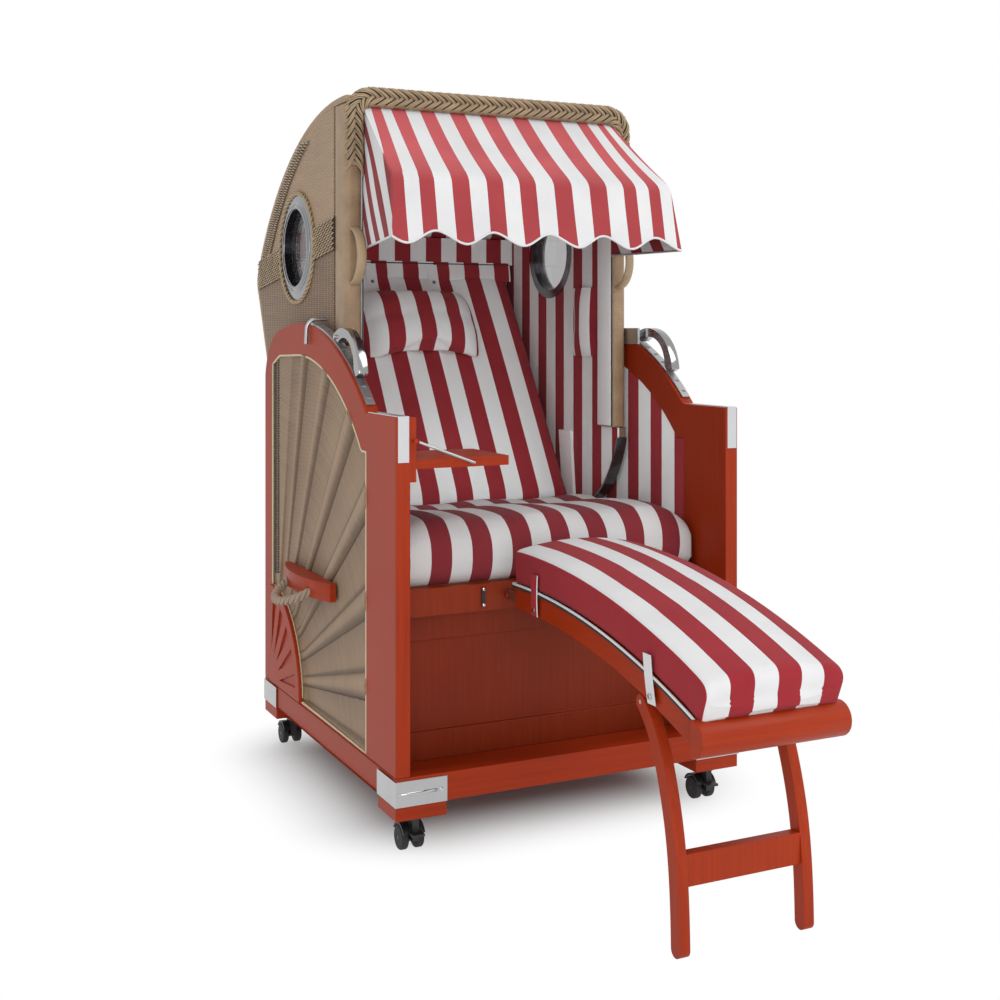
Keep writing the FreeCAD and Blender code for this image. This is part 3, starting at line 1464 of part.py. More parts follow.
def footrest_legs():
    run, height = leg_axis()
    half = size("leg_section") / 2
    shape = [(run, height)]
    for along, up in LEG_CURVE:
        shape.append((run + along * (size("leg_foot_run") - run), up * height))
    shape.append((size("leg_foot_run"), half))

    def side(sign):
        offsets = []
        for index, (y, z) in enumerate(shape):
            before = shape[max(index - 1, 0)]
            after = shape[min(index + 1, len(shape) - 1)]
            along = Vector(after[0] - before[0], after[1] - before[1], 0).normalize()
            offsets.append(Vector(y + sign * half * along.y, z - sign * half * along.x, 0))
        return offsets

    front = side(1)
    back = side(-1)
    run_down = Part.BSplineCurve()
    run_down.interpolate(front)
    run_up = Part.BSplineCurve()
    run_up.interpolate(back[::-1])
    last = Vector(shape[-1][0] - shape[-2][0], shape[-1][1] - shape[-2][1], 0).normalize()
    first = Vector(shape[0][0] - shape[1][0], shape[0][1] - shape[1][1], 0).normalize()
    foot = Part.ArcOfCircle(front[-1], Vector(shape[-1][0], shape[-1][1], 0) + last * half, back[-1])
    head = Part.ArcOfCircle(back[0], Vector(run, height, 0) + first * half, front[0])
    hole = circle((run, height), size("leg_pin") + 2 * size("fit_gap"))
    edges = [run_down, foot, run_up, head, hole]
    leg = stand(padded("footrest_leg", "YZ_Plane", edges, "footrest_rail_thick - free_gap"),
                x="footrest_width/2 - footrest_rail_thick + free_gap")
    reach = size("footrest_width") / 2 - size("footrest_rail_thick") + size("free_gap")
    cross = formed("leg_crossbar", Part.makeBox(2 * reach, size("crossbar_depth"), size("crossbar_drop"),
                                               Vector(-reach, size("leg_foot_run") - size("crossbar_set"),
                                                      size("crossbar_height"))))
    node(group("footrest_legs", [leg, mirrored("footrest_leg_twin", leg), cross]))


def footrest_fittings():
    run, height = hook_axis()
    back = size("rest_back_run")
    hook_hole = circle((run, height), size("hook_diameter") + 2 * size("fit_gap"))
    half = size("hook_flat_half")
    end = back - size("hook_flat_reach")
    low = footrest_point(end + half, size("hook_flat_low") - size("footrest_rail_height"))[1]
    high = footrest_point(end + half, -size("hook_flat_high"))[1]
    edges = outline((end, low), [(run, height - half), ((run + half, height), (run, height + half)), (end, high)])
    edges.append(hook_hole)
    flat = padded("hook_flat", "YZ_Plane", edges, "hook_flat_thick")
    stand(flat, x="footrest_width/2 - footrest_rail_thick - hook_flat_thick")
    axis_run, axis_height = leg_axis()
    inner = size("footrest_width") / 2 - size("footrest_rail_thick")
    half = size("leg_lug_half")
    rise = -size("leg_lug_rise")
    lug = outline((axis_run - half, axis_height), [((axis_run, axis_height - half), (axis_run + half, axis_height)),
                                                   footrest_point(axis_run + half, rise),
                                                   footrest_point(axis_run - half, rise)])
    plate = padded("leg_lug", "YZ_Plane", lug, "leg_lug_thick")
    stand(plate, x="footrest_width/2 - footrest_rail_thick - leg_lug_thick")
    pin = formed("leg_pin", rod((inner, axis_run, axis_height), (1, 0, 0), size("leg_pin"), size("footrest_rail_thick")))
    node(group("footrest_fittings", [flat, mirrored("hook_flat_twin", flat), plate, mirrored("leg_lug_twin", plate),
                                     pin, mirrored("leg_pin_twin", pin)]))


def build():
    base_rails()
    floor_board()
    foot_blocks()
    corner_brackets()
    side_panels()
    wicker_panels()
    side_linings()
    sun_corners()
    rope_handles()
    rear_panel()
    front_panel()
    seat_frame()
    seat_cushion()
    arm_strips()
    notch_rails()
    pivot_posts()
    caster_plates()
    for name, x, run in caster_centres():
        caster_fork(name, x, run)
        caster_wheel(name, x, run)
    tray()
    hood_roof()
    hood_sides()
    hood_linings()
    hood_trim()
    hood_posts()
    hood_braid()
    porthole_rings()
    grips()
    backrest()
    pillow()
    hinge_arms()
    hood_pins()
    latch_levers()
    awning_bow()
    awning_canopy()
    footrest_frame()
    footrest_cushion()
    footrest_legs()
    footrest_fittings()
    doc.recompute()


def export():
    """Check every object and write each node to its own file."""
    for thing in doc.Objects:
        state = [word for word in thing.State if word in ("Invalid", "Error")]
        if state:
            raise RuntimeError("%s is %s" % (thing.Label, state))
    os.makedirs("parts", exist_ok=True)
    for thing in nodes:
        shape = thing.Shape
        if shape.isNull() or not shape.isValid() or not shape.Solids:
            raise RuntimeError("%s has no sound solid" % thing.Label)
        print("%-26s %d solids, %.0f cm3" % (thing.Label, len(shape.Solids), shape.Volume / 1000))
        shape.exportStep("parts/%s.step" % thing.Label)
    print(len(nodes), "parts written")


build()
export()
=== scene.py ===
"""Looks of a hooded wicker beach chair with awning, tray, rope handles and hook-on footrest."""

import bisect
import logging
import math
from contextlib import contextmanager
from dataclasses import dataclass, field
from enum import Enum
from typing import Callable, Iterator, Optional, Sequence, Union

import bpy
from mathutils import Matrix, Vector


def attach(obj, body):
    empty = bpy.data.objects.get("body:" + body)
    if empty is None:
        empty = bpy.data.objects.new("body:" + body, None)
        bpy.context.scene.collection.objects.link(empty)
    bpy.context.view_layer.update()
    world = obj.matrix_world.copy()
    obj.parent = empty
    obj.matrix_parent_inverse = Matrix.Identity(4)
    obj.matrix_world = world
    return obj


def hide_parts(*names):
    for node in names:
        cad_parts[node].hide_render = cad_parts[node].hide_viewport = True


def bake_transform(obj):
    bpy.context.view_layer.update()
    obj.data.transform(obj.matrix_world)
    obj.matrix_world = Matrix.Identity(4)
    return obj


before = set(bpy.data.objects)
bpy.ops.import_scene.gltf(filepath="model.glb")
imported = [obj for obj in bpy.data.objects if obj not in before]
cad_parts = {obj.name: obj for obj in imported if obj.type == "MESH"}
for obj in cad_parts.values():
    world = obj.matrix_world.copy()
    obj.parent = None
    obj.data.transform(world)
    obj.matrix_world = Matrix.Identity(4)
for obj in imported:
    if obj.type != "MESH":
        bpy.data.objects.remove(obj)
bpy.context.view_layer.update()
LOG = logging.getLogger("beach_chair")

MM = 0.001
FRONT_RUN = 222.5
WELD = 0.00002
Piece = bpy.types.Object
Material = bpy.types.Material
Number = Union[float, "Wire"]
Colour = tuple[float, float, float, float]
Form = Callable[[float, float], Vector]


def spot(x: float, run: float, height: float) -> Vector:
    """A point from millimetres: across, behind the base's front, and above the floor."""
    return Vector((x, run - FRONT_RUN, height)) * MM


def paint(red: int, green: int, blue: int) -> Colour:
    """A colour written as on a screen, from 0 to 255, in linear light."""
    def linear(level: int) -> float:
        """One channel, by the screen's curve."""
        share = level / 255
        return share / 12.92 if share <= 0.04045 else ((share + 0.055) / 1.055) ** 2.4

    return linear(red), linear(green), linear(blue), 1.0


class Axis(Enum):
    """A direction of the chair's frame."""
    X = 0
    Y = 1
    Z = 2


class Side(Enum):
    """The chair's two sides, as seen by someone looking at its front."""
    LEFT = -1
    RIGHT = 1


# Shader maths

def calculation(operation: str, turned: bool = False) -> Callable[..., "Wire"]:
    """A method of Wire that adds one Math node.

    Args:
        operation: the node's operation.
        turned: whether the other value comes first.

    Returns:
        The method.
    """
    def method(self: "Wire", other: Optional[Number] = None) -> "Wire":
        """The node's result."""
        return self.board.maths(operation, *((other, self) if turned else (self, other)))

    return method


class Wire:
    """One value in a shader, with arithmetic that adds Math nodes."""

    def __init__(self, board: "Board", socket: bpy.types.NodeSocket) -> None:
        """Keeps the socket and the board that it is on."""
        self.board = board
        self.socket = socket

    __add__ = __radd__ = calculation("ADD")
    __sub__ = calculation("SUBTRACT")
    __rsub__ = calculation("SUBTRACT", turned=True)
    __mul__ = __rmul__ = calculation("MULTIPLY")
    __truediv__ = calculation("DIVIDE")
    __pow__ = calculation("POWER")
    __lt__ = calculation("LESS_THAN")
    __gt__ = calculation("GREATER_THAN")
    floor = calculation("FLOOR")
    part = calculation("FRACT")
    sine = calculation("SINE")
    size = calculation("ABSOLUTE")


class Board:
    """The shader nodes of one finish."""

    def __init__(self, name: str) -> None:
        """Starts an empty material.

        Args:
            name: the material's name.
        """
        self.material = bpy.data.materials.new(name)
        self.material.use_nodes = True
        self.tree = self.material.node_tree
        self.tree.nodes.clear()

    def add(self, kind: str, settings: Optional[dict] = None, inputs: Optional[dict] = None) -> bpy.types.Node:
        """Adds one node.

        Args:
            kind: the node's type.
            settings: its properties, set first.
            inputs: values or wires by socket name or number.

        Returns:
            The node.
        """
        made = self.tree.nodes.new(kind)
        for key, value in (settings or {}).items():
            setattr(made, key, value)
        for key, value in (inputs or {}).items():
            if value is None:
                continue
            if isinstance(value, Wire):
                self.tree.links.new(value.socket, made.inputs[key])
            else:
                made.inputs[key].default_value = value
        return made

    def maths(self, operation: str, first: Number, second: Optional[Number] = None) -> Wire:
        """One Math node's result."""
        made = self.add("ShaderNodeMath", {"operation": operation}, {0: first, 1: second})
        return Wire(self, made.outputs[0])

    def place(self, output: str = "Object") -> tuple[Wire, Wire, Wire]:
        """The point on the piece in metres, or with UV its place on the piece's own map."""
        coords = self.add("ShaderNodeTexCoord")
        return self.split(Wire(self, coords.outputs[output]))

    def attribute(self, name: str) -> Wire:
        """A value that is kept on the piece's points."""
        made = self.add("ShaderNodeAttribute", {"attribute_name": name})
        return Wire(self, made.outputs["Fac"])

    def split(self, vector: Wire) -> tuple[Wire, Wire, Wire]:
        """A vector's three values."""
        made = self.add("ShaderNodeSeparateXYZ", None, {0: vector})
        return tuple(Wire(self, made.outputs[index]) for index in range(3))

    def vector(self, x: Number, y: Number, z: Number) -> Wire:
        """Three values as a vector."""
        return Wire(self, self.add("ShaderNodeCombineXYZ", None, {0: x, 1: y, 2: z}).outputs[0])

    def noise(self, vector: Wire, scale: float, detail: float = 2.0) -> Wire:
        """Cloudy values round one half."""
        made = self.add("ShaderNodeTexNoise", None, {"Vector": vector, "Scale": scale, "Detail": detail})
        return Wire(self, made.outputs["Fac"])

    def mix(self, share: Number, first: Union[Colour, Wire], second: Union[Colour, Wire]) -> Wire:
        """A colour between two."""
        made = self.add("ShaderNodeMix", {"data_type": "RGBA"}, {0: share, 6: first, 7: second})
        return Wire(self, made.outputs[2])

    def bump(self, height: Wire, depth: float, strength: float = 1.0) -> Wire:
        """A surface direction from a height, with its depth in metres."""
        made = self.add("ShaderNodeBump", None, {"Height": height, "Distance": depth, "Strength": strength})
        return Wire(self, made.outputs["Normal"])

    def surface(self, colour: Union[Colour, Wire], roughness: Number, normal: Optional[Wire] = None,
                **constants: float) -> Material:
        """Ends the finish with its surface.

        Args:
            colour: base colour.
            roughness: roughness.
            normal: surface direction.
            constants: other sockets, with _ for a space in the name.

        Returns:
            The material.
        """
        inputs = {"Base Color": colour, "Roughness": roughness, "Normal": normal}
        inputs.update({key.replace("_", " "): value for key, value in constants.items()})
        shader = self.add("ShaderNodeBsdfPrincipled", None, inputs)
        out = self.add("ShaderNodeOutputMaterial")
        self.tree.links.new(shader.outputs[0], out.inputs[0])
        return self.material


# Finishes

class Grain(Enum):
    """How a board's grain runs."""
    LYING = (2.5, 2.5, 70.0)
    UPRIGHT = (70.0, 70.0, 2.5)
    ACROSS = (2.5, 70.0, 70.0)


@dataclass(frozen=True)
class Timber:
    """Wood with a painted, glazed or plain face."""
    name: str
    light: Colour
    dark: Colour
    grain: Grain
    gloss: float = 0.46
    coat: float = 0.05

    def make(self) -> Material:
        """The material."""
        board = Board(self.name)
        x, y, z = board.place()
        wide, deep, tall = self.grain.value
        lines = board.noise(board.vector(x * wide, y * deep, z * tall), scale=2.2, detail=3.0)
        cloud = board.noise(board.vector(x, y, z), scale=3.2)
        colour = board.mix(lines * 0.75 + cloud * 0.55 - 0.15, self.dark, self.light)
        rough = self.gloss + (lines - 0.5) * 0.16
        return board.surface(colour, rough, board.bump(lines, depth=0.0005, strength=0.35), Coat_Weight=self.coat,
                             Coat_Roughness=0.22, Specular_IOR_Level=0.16)


@dataclass(frozen=True)
class Cane:
    """Colour and gloss of woven strands; the dark colour also gives the painted shade in the weave's hollows."""
    light: Colour = paint(186, 157, 126)
    dark: Colour = paint(100, 80, 62)
    rough: float = 0.56


class Weave(Enum):
    """Where a woven face gets its two directions from."""
    SIDE = "side"
    ROOF = "roof"
    SHEET = "sheet"


@dataclass(frozen=True)
class Wicker:
    """A plain weave of thin strands over stakes."""
    name: str
    weave: Weave
    stake: float = 0.011
    strand: float = 0.0046
    cane: Cane = field(default_factory=Cane)
    relief: float = 0.42
    arc_run: float = 0.225
    arc_height: float = 0.7934
    arc_radius: float = 0.817
    band_height: float = 1.297
    band_run: float = 0.2675
    band_slope: float = 0.124
    band_half: float = 0.041
    rim_radius: float = 0.806
    rim_depth: float = 0.087
    rim_low: float = 1.268
    rim_high: float = 1.536

    def make(self) -> Material:
        """The material."""
        board = Board(self.name)
        shade: Number = 0.0
        if self.weave is Weave.SHEET:
            along, across, _ = board.place("UV")
            # Painted shade kept on the fan's points: darker beside its rolls and along the rear edge behind the cross
            # stitches, with an even darkening of the whole field.
            shade = board.attribute("groove_shade") * 0.75 + 0.25
        else:
            x, y, z = board.place()
            along, across = (y, z) if self.weave is Weave.SIDE else (x, self.arc(board, y, z))
            if self.weave is Weave.SIDE:
                shade = self.lower_shade(y, z)
        row = across / self.strand
        turn = row.floor()
        bed = row.part() * 2 - 1
        round_top = 1 - bed * bed
        wave = (along * (math.pi / self.stake) + turn * math.pi).sine() * 0.5 + 0.5
        height = round_top * (wave * 0.6 + 0.4)
        tone = board.noise(board.vector(turn * 0.61, along * 6.0, 0.0), scale=1.0)
        cloud = board.noise(board.vector(along, across, 0.0), scale=4.0)
        # The colour follows the weave's height: the hollows between strands are darker as painted shade, with the
        # strands' random tone on top.
        share = height * self.relief + tone * 0.36 + cloud * 0.3 + 0.32 - self.relief * 0.62 - shade
        colour = board.mix(share, self.cane.dark, self.cane.light)
        normal = board.bump(height, depth=0.0022, strength=self.relief + 0.2)
        return board.surface(colour, self.cane.rough + tone * 0.12, normal)

    def lower_shade(self, y: Wire, z: Wire) -> Wire:
        """Painted shade behind the raised bands and behind the stitches up the rear edge, darker weave below the
        bands, and the stakes' lines there.
        """
        off = z - self.band_height + (y - self.band_run) * self.band_slope
        behind = off.size() < self.band_half
        below = off < -self.band_half
        stakes = ((y * (math.pi / self.stake)).sine() * 0.5 + 0.5) * below
        back, up = y - self.arc_run, z - self.arc_height
        far = (back * back + up * up) ** 0.5
        edge = (self.rim_radius ** 2 - up * up) ** 0.5
        rim = (back > edge - self.rim_depth) * (far < self.rim_radius) * (z > self.rim_low) * (z < self.rim_high)
        return behind * 0.55 + rim * 0.6 + below * 0.3 + stakes * 0.22

    def arc(self, board: Board, y: Wire, z: Wire) -> Wire:
        """Length along the roof's curve."""
        return board.maths("ARCTAN2", y - self.arc_run, z - self.arc_height) * self.arc_radius


@dataclass(frozen=True)
class Withy:
    """Single strands, as in a plait, a winding or a rope."""
    name: str
    light: Colour = paint(190, 167, 134)
    dark: Colour = paint(120, 98, 72)
    rough: float = 0.48

    def make(self) -> Material:
        """The material."""
        board = Board(self.name)
        x, y, z = board.place()
        vector = board.vector(x, y, z)
        fibre = board.noise(vector, scale=420.0)
        cloud = board.noise(vector, scale=26.0)
        colour = board.mix(fibre * 0.5 + cloud * 0.7 - 0.1, self.dark, self.light)
        normal = board.bump(fibre, depth=0.0006, strength=0.5)
        return board.surface(colour, self.rough + (fibre - 0.5) * 0.2, normal)


class Stripes(Enum):
    """What a cloth's stripes follow."""
    ACROSS_X = "x"
    ACROSS_Y = "y"
    SHEET = "sheet"
    WHITE = "white"
    RED = "red"


@dataclass(frozen=True)
class Canvas:
    """Woven cloth in red and white block stripes."""
    name: str
    stripes: Stripes
    width: float = 0.0435
    start: float = 0.0
    share: float = 0.5
    gusset: float = 0.0
    red: Colour = paint(160, 34, 46)
    deep_red: Colour = paint(124, 20, 32)
    white: Colour = paint(211, 211, 212)
    grey: Colour = paint(184, 184, 186)
    thread: float = 0.0016
    # Painted light on the awning's top, the valance's red, and painted shade on its cheeks, which get less light.
    lit_top_red: Colour = paint(187, 82, 86)
    valance_red: Colour = paint(159, 60, 64)
    shaded_cheek_red: Colour = paint(135, 41, 47)
    crease: Vector = field(default_factory=lambda: spot(0.0, 180.0, 1406.4))
    lean_above: float = 1.34
    lean_below: float = 0.187
    lit_from: float = -0.015
    lit_rate: float = 16.0
    cheek_from: float = 0.008
    cheek_rate: float = 100.0
    worn: float = 0.66

    def lit_and_shaded_red(self, board: Board, y: Wire, z: Wire, level: float) -> Wire:
        """The awning's red with painted light and shade: lighter on top as painted light, the valance's own red, and
        darker on the cheeks behind them as painted shade.

        Args:
            board: the finish that is being made.
            y: the depth on the piece.
            z: the height on the piece.
            level: how bright the dye is, from 0 to 1.

        Returns:
            The colour.
        """
        def dye(colour: Colour) -> Colour:
            """A colour at the dye's level."""
            return tuple(level * channel for channel in colour[:3]) + (1.0,)

        above = z - self.crease.z
        behind = y - self.crease.y - board.maths("MAXIMUM", above * self.lean_above, above * self.lean_below)
        front = board.mix((above - self.lit_from) * self.lit_rate, dye(self.valance_red), dye(self.lit_top_red))
        return board.mix((behind - self.cheek_from) * self.cheek_rate, front, dye(self.shaded_cheek_red))

    def make(self) -> Material:
        """The material."""
        board = Board(self.name)
        x, y, z = board.place()
        soft = board.noise(board.vector(x, y, z), scale=9.0, detail=3.0)
        warp = ((x + y * 0.7) * (2 * math.pi / self.thread)).sine()
        weft = ((z + y * 0.7) * (2 * math.pi / self.thread)).sine()
        threads = (warp * weft) * 0.5 + 0.5
        shade = soft * 0.8 + threads * 0.3 - 0.35
        white = board.mix(shade, self.white, self.grey)
        red = board.mix(shade, self.red, self.deep_red)
        if self.stripes is Stripes.WHITE:
            colour = white
        elif self.stripes is Stripes.RED:
            colour = red
        else:
            if self.gusset:
                x = board.attribute("cut")
            if self.stripes is Stripes.SHEET:
                along = board.place("UV")[0]
                # The awning's red, with painted light on top and painted shade on the cheeks.
                red = board.mix(shade, self.lit_and_shaded_red(board, y, z, 1.0),
                                self.lit_and_shaded_red(board, y, z, self.worn))
            else:
                along = ((x if self.stripes is Stripes.ACROSS_X else y) - self.start) / self.width
            band = (along * 0.5).part() < self.share
            if self.gusset:
                band = board.maths("MAXIMUM", band, x.size() > self.gusset)
            colour = board.mix(band, white, red)
        normal = board.bump(threads * 0.5 + soft * 0.5, depth=0.0006, strength=0.5)
        return board.surface(colour, 0.82 + (soft - 0.5) * 0.1, normal,
                             Sheen_Weight=0.06, Sheen_Roughness=0.5, Specular_IOR_Level=0.2)


# A brighter copy of the striped cloth's colours for the pieces inside the hood: painted light that lifts the shaded
# inside.
LIGHTENED_INDOORS = {"red": paint(162, 53, 60), "deep_red": paint(129, 34, 42), "white": paint(248, 253, 253),
           "grey": paint(242, 247, 247)}


@dataclass(frozen=True)
class Metal:
    """Bare metal, brushed or polished."""
    name: str
    colour: Colour
    rough: float
    brush: tuple[float, float, float] = (60.0, 900.0, 900.0)

    def make(self) -> Material:
        """The material."""
        board = Board(self.name)
        x, y, z = board.place()
        wide, deep, tall = self.brush
        lines = board.noise(board.vector(x * wide, y * deep, z * tall), scale=1.0)
        cloud = board.noise(board.vector(x, y, z), scale=14.0)
        colour = board.mix(cloud * 0.4, self.colour, tuple(0.72 * level for level in self.colour[:3]) + (1.0,))
        rough = self.rough + (lines - 0.5) * 0.12 + (cloud - 0.5) * 0.1
        return board.surface(colour, rough, board.bump(lines, depth=0.0002, strength=0.25), Metallic=1.0)


@dataclass(frozen=True)
class Bored:
    """Polished metal, near black inside the porthole's bore as painted shade."""
    name: str
    rim: Colour
    bore: Colour
    radius: float = 0.0985
    middle_y: float = 0.5575
    middle_z: float = 1.277

    def make(self) -> Material:
        """The material."""
        board = Board(self.name)
        x, y, z = board.place()
        across, up = y - self.middle_y, z - self.middle_z
        inside = (across * across + up * up) ** 0.5 < self.radius
        cloud = board.noise(board.vector(x, y, z), scale=22.0)
        colour = board.mix(inside, self.rim, self.bore)
        return board.surface(colour, 0.1 + cloud * 0.12, None, Metallic=1.0)


@dataclass(frozen=True)
class Moulded:
    """Rubber, plastic or lacquer."""
    name: str
    colour: Colour
    rough: float
    coat: float = 0.0

    def make(self) -> Material:
        """The material."""
        board = Board(self.name)
        x, y, z = board.place()
        vector = board.vector(x, y, z)
        grit = board.noise(vector, scale=700.0)
        cloud = board.noise(vector, scale=30.0)
        pale = tuple(min(1.0, level * 1.6 + 0.012) for level in self.colour[:3]) + (1.0,)
        colour = board.mix(cloud * 0.7, self.colour, pale)
        normal = board.bump(grit, depth=0.0003, strength=0.3)
        return board.surface(colour, self.rough + (cloud - 0.5) * 0.15, normal, Coat_Weight=self.coat)


@dataclass(frozen=True)
class Pane:
    """Smoked glazing with a cool tint."""
    name: str

    def make(self) -> Material:
        """The material."""
        board = Board(self.name)
        x, y, z = board.place()
        smear = board.noise(board.vector(x, y, z), scale=18.0)
        return board.surface(paint(74, 76, 80), 0.04 + smear * 0.05, None, Alpha=0.38, Coat_Weight=1.0)


RED_LIGHT = paint(166, 52, 14)
RED_DARK = paint(124, 35, 8)
# A darker copy of the red paint: painted shade for the front panel and the seat rail.
SHADED_RED_LIGHT = paint(140, 48, 18)
SHADED_RED_DARK = paint(104, 33, 11)


class Finishes:
    """The chair's finishes, each made once."""

    def __init__(self) -> None:
        """Makes them all."""
        recipes = [
            Timber("paint_upright", RED_LIGHT, RED_DARK, Grain.UPRIGHT),
            Timber("paint_lying", RED_LIGHT, RED_DARK, Grain.LYING),
            Timber("paint_across", RED_LIGHT, RED_DARK, Grain.ACROSS),
            Timber("paint_shaded", SHADED_RED_LIGHT, SHADED_RED_DARK, Grain.UPRIGHT),
            Timber("plain_boards", paint(196, 160, 112), paint(150, 112, 70), Grain.ACROSS, gloss=0.6, coat=0.0),
            Wicker("wicker_side", Weave.SIDE),
            Wicker("wicker_roof", Weave.ROOF),
            Wicker("wicker_fan", Weave.SHEET, stake=0.0085, strand=0.0054, relief=0.2),
            Withy("withy"),
            Withy("withy_shade", paint(176, 148, 116), paint(120, 97, 72)),
            # Near-black strands put where there is only shade: painted shade in the plait's gaps, under the raised
            # bands and in the ladders.
            Withy("withy_painted_shade", paint(70, 55, 40), paint(44, 34, 24)),
            Withy("rope_yarn", paint(178, 157, 138), paint(104, 86, 72), rough=0.7),
            Canvas("stripes_wide", Stripes.ACROSS_X, width=0.047, start=0.286, **LIGHTENED_INDOORS),
            Canvas("cloth_white", Stripes.WHITE),
            Canvas("stripes_pelmet", Stripes.ACROSS_X, width=0.047, start=0.265, **LIGHTENED_INDOORS),
            Canvas("stripes_hood", Stripes.ACROSS_Y, width=0.0506, start=0.2779, share=0.475, **LIGHTENED_INDOORS),
            Canvas("stripes_base", Stripes.ACROSS_Y, width=0.0535, start=-0.059, share=0.475, **LIGHTENED_INDOORS),
            # A darker copy of the striped cloth for the seat cushion: painted shade.
            Canvas("stripes_seat", Stripes.ACROSS_X, width=0.048, start=-0.0016,
                   red=paint(123, 38, 46), deep_red=paint(98, 26, 33),
                   white=paint(200, 199, 199), grey=paint(174, 173, 174)),
            Canvas("stripes_pillow", Stripes.ACROSS_X, width=0.0435, start=-0.026, **LIGHTENED_INDOORS),
            # A darker red for the footrest's cushion: painted shade.
            Canvas("stripes_rest", Stripes.ACROSS_X, width=0.0487, gusset=0.1425, red=paint(146, 36, 44)),
            Canvas("stripes_pocket", Stripes.ACROSS_Y, width=0.0435, start=0.2779, **LIGHTENED_INDOORS),
            Canvas("stripes_awning", Stripes.SHEET),
            Canvas("cloth_red", Stripes.RED),
            Canvas("lining_white", Stripes.WHITE, **LIGHTENED_INDOORS),
            Canvas("cloth_cream", Stripes.WHITE, white=paint(204, 192, 160), grey=paint(176, 164, 132)),
            Metal("steel", (0.52, 0.52, 0.53, 1.0), rough=0.34),
            Metal("chrome", (0.54, 0.54, 0.55, 1.0), rough=0.12),
            Metal("lever_chrome", (0.36, 0.36, 0.36, 1.0), rough=0.12),
            Metal("bright_steel", (0.74, 0.74, 0.76, 1.0), rough=0.26),
            Bored("chrome_shaded_bore", (0.25, 0.26, 0.27, 1.0), (0.025, 0.025, 0.028, 1.0)),
            Metal("grey_hub", (0.32, 0.32, 0.33, 1.0), rough=0.42),
            Moulded("tyre", (0.007, 0.007, 0.008, 1.0), rough=0.7),
            Moulded("housing", (0.007, 0.007, 0.008, 1.0), rough=0.38),
            Moulded("edging", (0.02, 0.02, 0.022, 1.0), rough=0.16, coat=0.6),
            Moulded("webbing", (0.015, 0.015, 0.017, 1.0), rough=0.8),
            Pane("glazing"),
        ]
        self.made = {recipe.name: recipe.make() for recipe in recipes}

    def __getitem__(self, name: str) -> Material:
        """One finish by its name."""
        return self.made[name]


# Workbench

